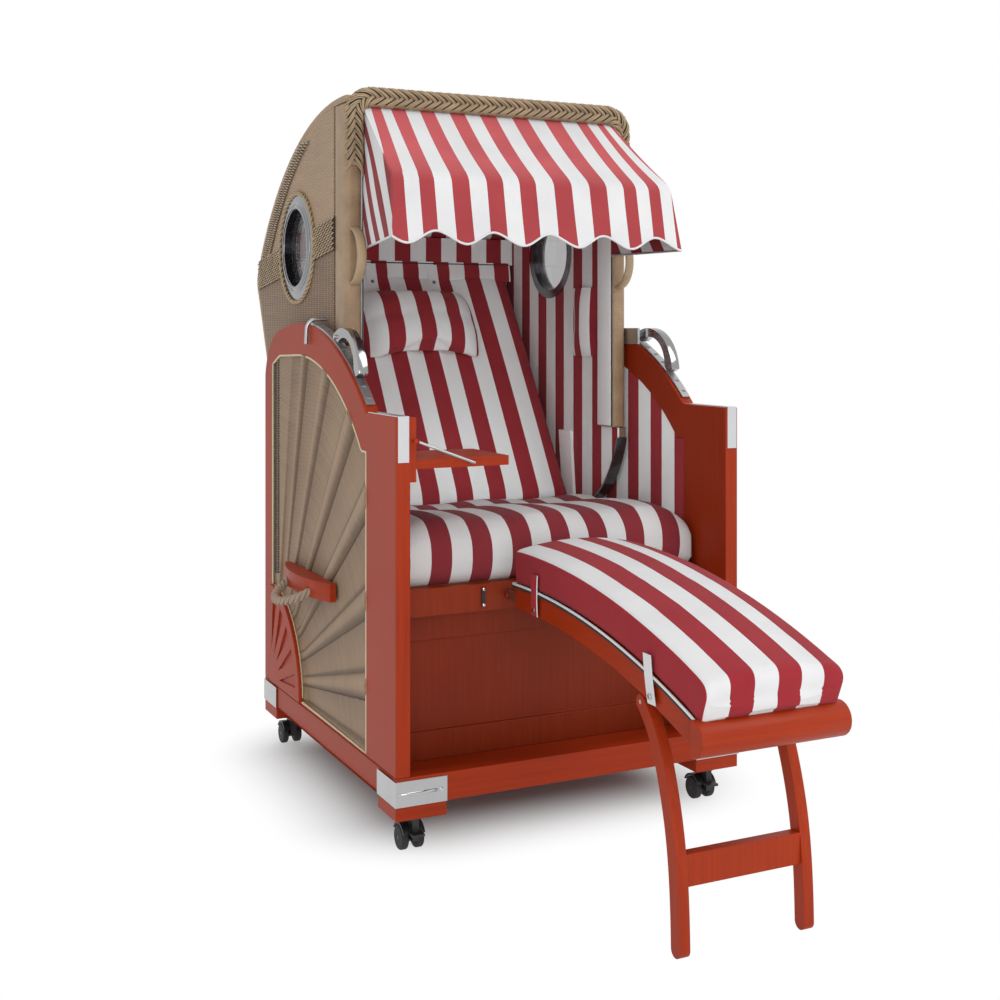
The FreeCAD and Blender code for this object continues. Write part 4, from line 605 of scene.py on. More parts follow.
class Bench:
    """Blender's modelling tools, as used on one piece at a time."""

    @staticmethod
    def clear() -> None:
        """Leaves edit mode and deselects everything."""
        if bpy.context.object and bpy.context.object.mode != "OBJECT":
            bpy.ops.object.mode_set(mode="OBJECT")
        bpy.ops.object.select_all(action="DESELECT")

    @staticmethod
    def pick(piece: Piece) -> None:
        """Makes one piece the selected and active one."""
        Bench.clear()
        piece.select_set(True)
        bpy.context.view_layer.objects.active = piece

    @staticmethod
    def named(name: str) -> Piece:
        """Takes the piece that an operator has just added and names it."""
        piece = bpy.context.object
        piece.name = name
        piece.data.name = name
        return piece

    @staticmethod
    @contextmanager
    def editing() -> Iterator[None]:
        """Edit mode on the active piece, with all of it selected."""
        bpy.ops.object.mode_set(mode="EDIT")
        bpy.ops.mesh.select_all(action="SELECT")
        yield
        bpy.ops.object.mode_set(mode="OBJECT")

    @staticmethod
    def grid(name: str, columns: int, rows: int, form: Form,
             sheet: Optional[Callable[[float, float], tuple[float, float]]] = None) -> Piece:
        """A grid whose points are moved onto a form.

        Args:
            name: the piece's name.
            columns: faces along the form's first direction.
            rows: faces along its second.
            form: the point at two shares from 0 to 1.
            sheet: its place on the UV map at the same shares.

        Returns:
            The piece.
        """
        Bench.clear()
        bpy.ops.mesh.primitive_grid_add(x_subdivisions=columns, y_subdivisions=rows, size=1.0)
        piece = Bench.named(name)
        mesh = piece.data
        shares = [(point.co.x + 0.5, point.co.y + 0.5) for point in mesh.vertices]
        if sheet:
            layer = mesh.uv_layers.active.data
            for loop in mesh.loops:
                layer[loop.index].uv = sheet(*shares[loop.vertex_index])
        for point, share in zip(mesh.vertices, shares):
            point.co = form(*share)
        mesh.update()
        return piece

    @staticmethod
    def woven(name: str, skein: "Skein") -> Piece:
        """A piece from swept strands."""
        mesh = bpy.data.meshes.new(name)
        mesh.from_pydata(skein.points, [], skein.faces)
        mesh.validate()
        for face in mesh.polygons:
            face.use_smooth = True
        piece = bpy.data.objects.new(name, mesh)
        bpy.context.scene.collection.objects.link(piece)
        return piece

    @staticmethod
    def copied(name: str, node: str) -> Piece:
        """A copy of a solid's mesh, with its loose triangles merged."""
        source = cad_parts[node]
        piece = bpy.data.objects.new(name, source.data.copy())
        piece.data.name = name
        piece.data.materials.clear()
        bpy.context.scene.collection.objects.link(piece)
        Bench.pick(piece)
        with Bench.editing():
            bpy.ops.mesh.remove_doubles(threshold=WELD)
            bpy.ops.mesh.customdata_custom_splitnormals_clear()
        return piece

    @staticmethod
    def joined(name: str, pieces: Sequence[Piece], merge: float = 0.0) -> Piece:
        """Several pieces as one mesh."""
        Bench.clear()
        for piece in pieces:
            piece.select_set(True)
        bpy.context.view_layer.objects.active = pieces[0]
        if len(pieces) > 1:
            bpy.ops.object.join()
        whole = Bench.named(name)
        if merge:
            with Bench.editing():
                bpy.ops.mesh.remove_doubles(threshold=merge)
                bpy.ops.mesh.normals_make_consistent(inside=False)
        return whole

    @staticmethod
    def modify(piece: Piece, kind: str, **settings: object) -> None:
        """Adds one modifier and applies it."""
        Bench.pick(piece)
        made = piece.modifiers.new(kind.title(), kind)
        for key, value in settings.items():
            setattr(made, key, value)
        bpy.ops.object.modifier_apply(modifier=made.name)

    @staticmethod
    def face_way(piece: Piece, way: Vector) -> None:
        """Turns an open sheet's faces so that most of them point one way."""
        total = sum((face.normal.dot(way) * face.area for face in piece.data.polygons), 0.0)
        if total < 0:
            Bench.pick(piece)
            with Bench.editing():
                bpy.ops.mesh.flip_normals()

    @staticmethod
    def cloth(name: str, faces: tuple[int, int], form: Form, way: Vector, thick: float,
              offset: float = 0.0) -> Piece:
        """A thin sheet on a form.

        Args:
            name: the piece's name.
            faces: faces along the form's two directions.
            form: the point at two shares from 0 to 1.
            way: the way that most of its faces point.
            thick: its thickness.
            offset: where its thickness goes, from -1 behind the form to 1 before it.

        Returns:
            The piece.
        """
        piece = Bench.grid(name, *faces, form)
        Bench.face_way(piece, way)
        Bench.modify(piece, "SOLIDIFY", thickness=thick, offset=offset)
        return piece

    @staticmethod
    def smooth(piece: Piece, angle: float = 40.0) -> None:
        """Rounds the shading except at sharp edges."""
        Bench.pick(piece)
        bpy.ops.object.shade_smooth_by_angle(angle=math.radians(angle))

    @staticmethod
    def rod(name: str, centre: Vector, axis: Vector, radius: float, length: float, ease: float,
            sides: int = 20) -> Piece:
        """A short round piece with eased rims.

        Args:
            name: the piece's name.
            centre: its middle.
            axis: the way it points.
            radius: its radius.
            length: its length.
            ease: how far its rims are rounded.
            sides: faces round it.

        Returns:
            The piece.
        """
        Bench.clear()
        bpy.ops.mesh.primitive_cylinder_add(vertices=sides, radius=radius, depth=length)
        piece = Bench.named(name)
        with Bench.editing():
            bpy.ops.mesh.edges_select_sharp(sharpness=math.radians(60))
            bpy.ops.mesh.bevel(offset=ease, segments=2, affect="EDGES")
        piece.data.transform(Matrix.Translation(centre) @ axis.to_track_quat("Z", "Y").to_matrix().to_4x4())
        Bench.smooth(piece)
        return piece

    @staticmethod
    def slab(name: str, low: Vector, high: Vector, ease: float) -> Piece:
        """A flat block between two corners with eased edges."""
        Bench.clear()
        bpy.ops.mesh.primitive_cube_add(size=1.0)
        piece = Bench.named(name)
        with Bench.editing():
            bpy.ops.transform.resize(value=tuple(abs(side) for side in high - low))
            bpy.ops.mesh.bevel(offset=ease, segments=2, affect="EDGES")
        piece.data.transform(Matrix.Translation((low + high) / 2))
        Bench.smooth(piece)
        return piece


class Skein:
    """Strands swept along lines, gathered into one mesh."""

    def __init__(self) -> None:
        """Starts with no strand."""
        self.points: list[Vector] = []
        self.faces: list[tuple[int, ...]] = []

    def rings(self, rings: Sequence[Sequence[Vector]], closed: bool = False) -> None:
        """Joins outlines of as many points each, one after another, into a skin."""
        first = len(self.points)
        count, sides = len(rings), len(rings[0])
        inner = sum((point for point in rings[0]), Vector()) / sides
        after = sum((point for point in rings[1]), Vector()) / sides
        turned = (rings[0][0] - inner).cross(rings[0][1] - inner).dot(after - inner) < 0
        for ring in rings:
            self.points += ring
        skin = []
        for index in range(count if closed else count - 1):
            here = first + index * sides
            there = first + ((index + 1) % count) * sides
            skin += [(here + side, here + (side + 1) % sides, there + (side + 1) % sides, there + side)
                     for side in range(sides)]
        if not closed:
            skin.append(tuple(first + side for side in reversed(range(sides))))
            skin.append(tuple(first + (count - 1) * sides + side for side in range(sides)))
        self.faces += [face[::-1] for face in skin] if turned else skin

    def lay(self, line: Sequence[Vector], radius: float, sides: int = 6, closed: bool = False, flat: float = 1.0,
            up: Optional[Vector] = None, radial: Optional[Vector] = None,
            swell: Optional[Callable[[int], float]] = None) -> None:
        """Sweeps one strand.

        Args:
            line: the points that it follows.
            radius: its radius.
            sides: faces round it.
            closed: whether its end meets its start.
            flat: its thickness as a share of its width.
            up: the way its thickness points at the start.
            radial: a point that its thickness points away from.
            swell: its size at each point of the line.
        """
        count = len(line)
        rings = []
        normal = up
        for index, point in enumerate(line):
            ahead = line[(index + 1) % count] if closed or index + 1 < count else point
            behind = line[index - 1] if closed or index else point
            along = (ahead - behind).normalized()
            if radial is not None:
                normal = point - radial
            elif normal is None:
                normal = along.orthogonal()
            normal = (normal - along * normal.dot(along)).normalized()
            across = along.cross(normal)
            size = radius * (swell(index) if swell else 1.0)
            turns = [2 * math.pi * side / sides for side in range(sides)]
            rings.append([point + across * (size * math.cos(turn)) + normal * (size * flat * math.sin(turn))
                          for turn in turns])
        self.rings(rings, closed)

    def bead(self, start: Vector, end: Vector, radius: float) -> None:
        """A short strand with tapered ends, as one stitch of a weave."""
        shares = (0.0, 0.22, 0.5, 0.78, 1.0)
        swells = (0.35, 0.88, 1.0, 0.88, 0.35)
        line = [start.lerp(end, share) for share in shares]
        self.lay(line, radius, swell=lambda index: swells[index])


def spaced(corners: Sequence[Vector], step: float) -> list[Vector]:
    """Points along straight runs, about a step apart."""
    found = [corners[0]]
    for start, end in zip(corners, corners[1:]):
        parts = max(1, round((end - start).length / step))
        found += [start.lerp(end, (index + 1) / parts) for index in range(parts)]
    return found


def dress(piece: Piece, finish: Material) -> Piece:
    """Gives a piece one finish all over."""
    piece.data.materials.clear()
    piece.data.materials.append(finish)
    return piece


def fit(piece: Piece, finish: Material, body: str, slot: str, *nodes: str) -> Piece:
    """Dresses a piece, lets it ride on a body, and hides the solids that it stands for.

    Args:
        piece: the piece.
        finish: its finish.
        body: the body that carries it.
        slot: not used.
        nodes: the solids that it replaces.

    Returns:
        The piece.
    """
    dress(piece, finish)
    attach(piece, body)
    if nodes:
        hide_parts(*nodes)
    LOG.info("%s rides on %s with %d faces", piece.name, body, len(piece.data.polygons))
    return piece


# Sub-assemblies

@dataclass
class Studio:
    """Camera, pale floor and soft light."""
    eye: tuple[float, float, float] = (-1.4413, -2.8209, 1.0722)
    pitch: float = 90.0
    heading: float = -25.84
    rise: float = -0.171
    lens: float = 50.0
    film: float = 36.0
    floor_side: float = 60.0
    floor_lit: float = 0.9
    # The darker floor seen by the camera, and the box round the chair's footprint where the glow fades: a painted
    # shadow.
    floor_shadow_seen: float = 0.45
    shade_half: float = 0.25
    shade_middle: float = 0.295
    shade_fade: float = 0.36
    surroundings: float = 0.88
    lamps: tuple[tuple, ...] = (("key", (2.0, -3.0, 4.3), (0.0, -0.2, 0.6), 2.8, 78.0),
                                ("fill", (-1.4, -4.2, 1.15), (0.0, 0.0, 0.9), 2.6, 52.0),
                                ("back", (0.6, 3.2, 3.8), (0.0, 0.0, 0.9), 2.6, 55.0))

    def build(self) -> None:
        """Sets up the camera, the floor, the lamps and the world."""
        Bench.clear()
        bpy.ops.object.camera_add(location=self.eye,
                                  rotation=(math.radians(self.pitch), 0.0, math.radians(self.heading)))
        camera = bpy.context.object
        camera.data.lens = self.lens
        camera.data.sensor_width = self.film
        camera.data.shift_y = self.rise
        scene = bpy.context.scene
        scene.camera = camera
        scene.view_settings.view_transform = "Standard"
        self.floor()
        self.world(scene)
        for lamp in self.lamps:
            self.lamp(*lamp)

    def floor(self) -> None:
        """A wide pale floor that keeps the chair's cast shadow and adds a painted shadow: near the chair's footprint
        its glow fades out and the camera sees a darker floor.
        """
        Bench.clear()
        bpy.ops.mesh.primitive_plane_add(size=self.floor_side)
        piece = Bench.named("studio_floor")
        board = Board("pale_floor")
        path = board.add("ShaderNodeLightPath")
        seen, mirrored, through = (Wire(board, path.outputs["Is %s Ray" % kind])
                                   for kind in ("Camera", "Glossy", "Transmission"))
        # A painted shadow: near the chair the camera sees a darker floor.
        level = seen * (self.floor_shadow_seen - self.floor_lit) + self.floor_lit
        soft = board.add("ShaderNodeBsdfDiffuse", None, {"Color": level})
        glow = board.add("ShaderNodeEmission", None, {"Color": (1.0, 1.0, 1.0, 1.0), "Strength": 1.0})
        x, y, _ = board.place()
        aside = board.maths("MAXIMUM", x.size() - self.shade_half, 0.0)
        along = board.maths("MAXIMUM", (y - self.shade_middle).size() - self.shade_half, 0.0)
        far = board.maths("SQRT", aside * aside + along * along)
        fade = board.add("ShaderNodeMapRange", {"interpolation_type": "SMOOTHSTEP"},
                         {"Value": far, "From Min": 0.0, "From Max": self.shade_fade, "To Min": 0.0, "To Max": 1.0})
        share = board.maths("MINIMUM", seen + mirrored + through, 1.0) * Wire(board, fade.outputs[0])
        both = board.add("ShaderNodeMixShader", None, {0: share})
        board.tree.links.new(soft.outputs[0], both.inputs[1])
        board.tree.links.new(glow.outputs[0], both.inputs[2])
        out = board.add("ShaderNodeOutputMaterial")
        board.tree.links.new(both.outputs[0], out.inputs[0])
        dress(piece, board.material)

    def world(self, scene: bpy.types.Scene) -> None:
        """White surroundings, with a plain level of light on the chair."""
        world = bpy.data.worlds.new("studio")
        world.use_nodes = True
        scene.world = world
        tree = world.node_tree
        path = tree.nodes.new("ShaderNodeLightPath")
        seen = tree.nodes.new("ShaderNodeMath")
        seen.operation = "MAXIMUM"
        tree.links.new(path.outputs["Is Camera Ray"], seen.inputs[0])
        tree.links.new(path.outputs["Is Transmission Ray"], seen.inputs[1])
        level = tree.nodes.new("ShaderNodeMapRange")
        level.inputs["To Min"].default_value = self.surroundings
        level.inputs["To Max"].default_value = 1.0
        tree.links.new(seen.outputs[0], level.inputs["Value"])
        ground = tree.nodes["Background"]
        ground.inputs["Color"].default_value = (1.0, 1.0, 1.0, 1.0)
        tree.links.new(level.outputs[0], ground.inputs["Strength"])

    @staticmethod
    def lamp(name: str, place: tuple[float, float, float], aim: tuple[float, float, float], side: float,
             power: float) -> None:
        """One wide soft lamp."""
        Bench.clear()
        way = Vector(aim) - Vector(place)
        bpy.ops.object.light_add(type="AREA", location=place, rotation=way.to_track_quat("-Z", "Y").to_euler())
        lamp = bpy.context.object
        lamp.name = name
        lamp.data.size = side
        lamp.data.energy = power


@dataclass
class RopeHandles:
    """A laid rope looped out of each side panel."""
    root_x: float = 0.427
    out: float = 0.072
    middle_y: float = 0.3235
    half: float = 0.088
    height: float = 0.478
    sag: float = 0.040
    diameter: float = 0.021
    turns: int = 6
    strands: int = 3
    lay_length: float = 0.042
    strand_off: float = 0.54
    strand_thick: float = 0.47

    def build(self, finishes: Finishes) -> None:
        """Makes both ropes."""
        for side in Side:
            self.rope(side, finishes)

    def rope(self, side: Side, finishes: Finishes) -> None:
        """Makes one rope of three strands."""
        route = []
        for index in range(self.turns + 1):
            turn = math.pi * index / self.turns
            route.append((side.value * (self.root_x + self.out * math.sin(turn)),
                          self.middle_y - self.half * math.cos(turn), self.height - self.sag * math.sin(turn)))
        line = self.centre_line(route)
        length = sum((b - a).length for a, b in zip(line, line[1:]))
        radius = self.diameter / 2
        skein = Skein()
        axis = Vector((0.0, 0.0, 1.0))
        for strand in range(self.strands):
            path = []
            done = 0.0
            for index, point in enumerate(line):
                along = (line[min(index + 1, len(line) - 1)] - line[max(index - 1, 0)]).normalized()
                across = along.cross(axis).normalized()
                up = across.cross(along)
                turn = 2 * math.pi * (done / self.lay_length + strand / self.strands)
                path.append(point + (across * math.cos(turn) + up * math.sin(turn)) * (radius * self.strand_off))
                if index + 1 < len(line):
                    done += (line[index + 1] - point).length
            skein.lay(path, radius=radius * self.strand_thick, sides=10)
        name = "rope_" + side.name.lower()
        piece = fit(Bench.woven(name + "_strands", skein), finishes["rope_yarn"], "base", "rope", name)
        [tuple(point) for point in line]

    @staticmethod
    def centre_line(route: Sequence[tuple[float, float, float]]) -> list[Vector]:
        """Points of the smooth line through a route."""
        curve = bpy.data.curves.new("rope_line", "CURVE")
        curve.dimensions = "3D"
        curve.resolution_u = 16
        spline = curve.splines.new("NURBS")
        spline.points.add(len(route) - 1)
        for point, place in zip(spline.points, route):
            point.co = (*place, 1.0)
        spline.order_u = 3
        spline.use_endpoint_u = True
        carrier = bpy.data.objects.new("rope_line", curve)
        bpy.context.scene.collection.objects.link(carrier)
        mesh = bpy.data.meshes.new_from_object(carrier)
        line = [point.co.copy() for point in mesh.vertices]
        bpy.data.objects.remove(carrier)
        bpy.data.meshes.remove(mesh)
        return line


@dataclass
class HoodTrim:
    """Plaits, windings and raised bands on the wicker hood."""
    outer: float = 373.0
    post_inner: float = 332.0
    post_front: float = 418.0
    post_back: float = 491.0
    post_low: float = 826.0
    post_high: float = 1593.0
    post_round: float = 12.0
    turn_pitch: float = 4.4
    braid_foot: float = 1440.0
    braid_top: float = 1607.0
    braid_run: float = 407.0
    porthole_run: float = 780.0
    porthole_height: float = 1277.0
    arc_run: float = 447.5
    arc_height: float = 793.4
    plait_half: float = 0.0225
    plait_pitch: float = 0.024
    plait_canes: int = 3
    plait_slant: float = 0.038
    plait_cane: float = 0.0018
    plait_close: float = 0.25
    plait_bend: float = 42.0
    plait_inset: float = 18.0
    plait_overlap: float = 0.0025
    plait_height: float = 0.0115
    plait_sink: float = 0.0045
    plait_lead: float = 0.012
    plait_stages: int = 8
    grip_x: float = 352.5
    grip_height: float = 1240.0
    grip_half: float = 63.0
    grip_reach: float = 51.0
    grip_steps: int = 120
    cord_radius: float = 137.5
    cord_turns: int = 26
    cord_steps: int = 360
    cord_clear: float = 144.0
    rims: tuple[tuple[float, float, float], ...] = ((99.5, 5.0, 0.0026), (112.0, 4.4, 0.0018))
    band_rows: int = 13
    band_pitch: float = 6.0
    band_start: float = 490.0
    band_end: float = 1122.0
    band_level: float = 1297.0
    band_slope: float = 0.124
    band_runs: tuple[tuple[float, float], ...] = ((492.0, 634.0), (926.0, 1122.0))
    stitch_first: float = 503.0
    stitch_pitch: float = 26.0
    stitch_count: int = 26
    stitch_half: float = 11.5
    stitch_slant: float = 3.0
    stitch_radius: float = 0.0023
    stitch_limit: float = 812.0
    edge_first: float = 1270.0
    edge_pitch: float = 5.6
    edge_count: int = 48
    edge_radius: float = 806.0
    edge_slant: float = 5.5
    edge_stitch: float = 0.0021
    edge_columns: tuple[tuple[float, float, float], ...] = ((0.0, 28.0, 0.0), (30.0, 57.0, 2.8), (59.0, 85.0, 0.0))

    def build(self, finishes: Finishes) -> None:
        """Makes the posts, the plait, the grips, the porthole cords and the raised bands."""
        withy = finishes["withy"]
        fit(self.posts(), finishes["withy_shade"], "hood", "wicker", "hood_posts")
        fit(self.plait(), withy, "hood", "wicker", "hood_braid")
        fit(self.plait_core(), finishes["withy_painted_shade"], "hood", "wicker")
        fit(self.grips(), withy, "hood", "wicker", "grips")
        fit(self.porthole_cords(), withy, "hood", "wicker")
        fit(self.raised_bands(), withy, "hood", "wicker")
        fit(self.porthole_rims(), finishes["lever_chrome"], "hood", "chrome")

    def post_ring(self, side: Side, inset: float, height: float) -> list[Vector]:
        """One turn's outline round a post, square at the back and rounded at the front."""
        ring = []
        corners = ((self.outer, self.post_back, 0, 2.0), (self.post_inner, self.post_back, 90, 2.0),
                   (self.post_inner, self.post_front, 180, self.post_round),
                   (self.outer, self.post_front, 270, self.post_round))
        for x, run, start, bend in corners:
            centre_x = x + (-1 if x == self.outer else 1) * bend
            centre_run = run + (-1 if run == self.post_back else 1) * bend
            for step in range(4):
                turn = math.radians(start + 30 * step)
                size = bend - inset if run == self.post_front else bend
                ring.append(spot(side.value * (centre_x + size * math.cos(turn)),
                                 centre_run + size * math.sin(turn), height))
        return ring

    def posts(self) -> Piece:
        """Both posts, wound from foot to top."""
        skein = Skein()
        turns = round((self.post_high - self.post_low) / self.turn_pitch)
        for side in Side:
            rings = []
            for turn in range(turns):
                for share, inset in ((0.0, 1.3), (0.25, 0.2), (0.75, 0.2)):
                    height = self.post_low + (turn + share) * self.turn_pitch
                    rings.append(self.post_ring(side, inset, height))
            skein.rings(rings)
        return Bench.woven("wound_posts", skein)

    def plait_line(self) -> list[Vector]:
        """The plait's middle line, up one side, over the top and down the other."""
        x, bend = self.outer - self.plait_inset, self.plait_bend
        line = [spot(-x, self.braid_run, self.braid_foot), spot(-x, self.braid_run, self.braid_top - bend)]
        for step in range(1, 9):
            turn = math.radians(90 * step / 8)
            line.append(spot(-x + bend * (1 - math.cos(turn)), self.braid_run,
                             self.braid_top - bend + bend * math.sin(turn)))
        line += [Vector((-point.x, point.y, point.z)) for point in reversed(line)]
        return spaced(line, 0.0022)

    def plait(self) -> Piece:
        """A flat plait, each strand a bundle of thin canes that slants in from an edge and dives at the middle."""
        line = self.plait_line()
        out = Vector((0.0, -1.0, 0.0))
        reached = [0.0]
        for here, there in zip(line, line[1:]):
            reached.append(reached[-1] + (there - here).length)

        def at(done: float, across: float, off: float) -> Vector:
            """A point by its distance along the plait, across it and off it, in metres."""
            index = min(len(line) - 2, max(1, bisect.bisect(reached, done)))
            along = (line[index + 1] - line[index - 1]).normalized()
            extra = done - reached[index]
            return line[index] + along * extra + along.cross(out) * across + out * off

        skein = Skein()
        canes = round(reached[-1] / self.plait_pitch) * self.plait_canes
        for side in Side:
            for number in range(canes):
                place = number % self.plait_canes - (self.plait_canes - 1) / 2
                strand = number // self.plait_canes + (0.5 if side is Side.LEFT else 0.0)
                start = (strand + place * self.plait_close) * self.plait_pitch
                path = []
                for stage in range(self.plait_stages + 1):
                    share = stage / self.plait_stages
                    across = side.value * (self.plait_half * (1 - share) - self.plait_overlap * share)
                    arch = self.plait_cane * (1 - place ** 2)
                    off = self.plait_height * math.sin(math.pi * 0.93 * share ** 0.75) - self.plait_sink + arch
                    path.append(at(start - self.plait_lead + self.plait_slant * share, across, off))
                skein.lay(path, radius=self.plait_cane, sides=5)
        behind = [point + Vector((0.0, 0.006, 0.0)) for point in line[4::6]]
        skein.lay(behind, radius=self.plait_half + 0.001, sides=14, flat=0.22, up=out)
        return Bench.woven("front_plait", skein)

    def plait_core(self) -> Piece:
        """The dark roll that the plait lies round, and the dark rows under the raised bands: painted shade seen
        between their canes and stitches.
        """
        skein = Skein()
        skein.lay(self.plait_line()[8::6], radius=self.plait_half - 0.005, sides=10, flat=0.12,
                  up=Vector((0.0, -1.0, 0.0)))
        for side in Side:
            x = side.value * (self.outer + 1.2)
            for row in range(self.band_rows):
                for start, end in self.band_runs:
                    line = [spot(x, run, self.band_height(run, row)) for run in (start, end)]
                    skein.lay(spaced(line, 0.03), radius=0.0024, sides=6)
        return Bench.woven("plait_core", skein)

    def grips(self) -> Piece:
        """Two wound loops to tilt the hood by."""
        skein = Skein()
        root = self.post_front + 4.0
        for side in Side:
            x = side.value * self.grip_x
            line = []
            for step in range(self.grip_steps + 1):
                turn = math.pi * step / self.grip_steps
                line.append(spot(x, root - (self.grip_reach + 4.0) * math.sin(turn),
                                 self.grip_height + self.grip_half * math.cos(turn)))
            skein.lay(line, radius=0.0122, sides=12, flat=0.42, up=Vector((0, -1, 0)),
                      radial=spot(x, 430.0, self.grip_height),
                      swell=lambda index: 1.0 - 0.07 * (index % 3 == 0))
        return Bench.woven("wound_grips", skein)

    def round_porthole(self, side: Side, out: float, radius: float, turn: float) -> Vector:
        """A point round a porthole, by how far it stands out of the side, its radius and its angle."""
        return spot(side.value * (self.outer + out), self.porthole_run + radius * math.cos(turn),
                    self.porthole_height + radius * math.sin(turn))

    def porthole_cords(self) -> Piece:
        """A twisted cord round each porthole."""
        skein = Skein()
        for side in Side:
            for strand in range(2):
                line = []
                for step in range(self.cord_steps):
                    turn = 2 * math.pi * step / self.cord_steps
                    twist = self.cord_turns * turn + math.pi * strand
                    line.append(self.round_porthole(side, 3.4 + 2.6 * math.sin(twist),
                                                    self.cord_radius + 3.2 * math.cos(twist), turn))
                skein.lay(line, radius=0.0031, sides=6, closed=True)
        return Bench.woven("porthole_cords", skein)

    def porthole_rims(self) -> Piece:
        """Two bright beads round each porthole's bore."""
        skein = Skein()
        for side in Side:
            for radius, out, thick in self.rims:
                line = [self.round_porthole(side, out, radius, math.radians(5 * step)) for step in range(72)]
                skein.lay(line, radius=thick, sides=8, closed=True)
        return Bench.woven("porthole_rims", skein)

    def band_height(self, run: float, row: int) -> float:
        """Height of one row of the band across a side."""
        middle = self.band_level - (run - self.band_start) * self.band_slope
        return middle + (row - (self.band_rows - 1) / 2) * self.band_pitch

    def raised_bands(self) -> Piece:
        """Bands of short stitches across each side and up its rear edge."""
        skein = Skein()
        half, slant = self.stitch_half, self.stitch_slant
        for side in Side:
            x = side.value * (self.outer + 4.0)
            for row in range(self.band_rows):
                for step in range(self.stitch_count):
                    run = self.stitch_first + self.stitch_pitch * (step + 0.5 * (row % 2))
                    height = self.band_height(run, row)
                    back = math.hypot(run - self.arc_run, height - self.arc_height)
                    if self.clear_of_porthole(run, height) and back < self.stitch_limit and run < self.band_end:
                        skein.bead(spot(x, run - half, height + slant), spot(x, run + half, height - slant),
                                   self.stitch_radius)
            for step in range(self.edge_count):
                height = self.edge_first + self.edge_pitch * step
                edge = self.arc_run + math.sqrt(self.edge_radius ** 2 - (height - self.arc_height) ** 2)
                for near, far, shift in self.edge_columns:
                    ends = [(edge - near, height + shift), (edge - far, height + shift - self.edge_slant)]
                    if all(self.clear_of_porthole(*end) for end in ends):
                        skein.bead(spot(x, *ends[0]), spot(x, *ends[1]), self.edge_stitch)
        return Bench.woven("raised_bands", skein)

    def clear_of_porthole(self, run: float, height: float) -> bool:
        """Whether a stitch lies outside the porthole's cord."""
        return math.hypot(run - self.porthole_run, height - self.porthole_height) > self.cord_clear


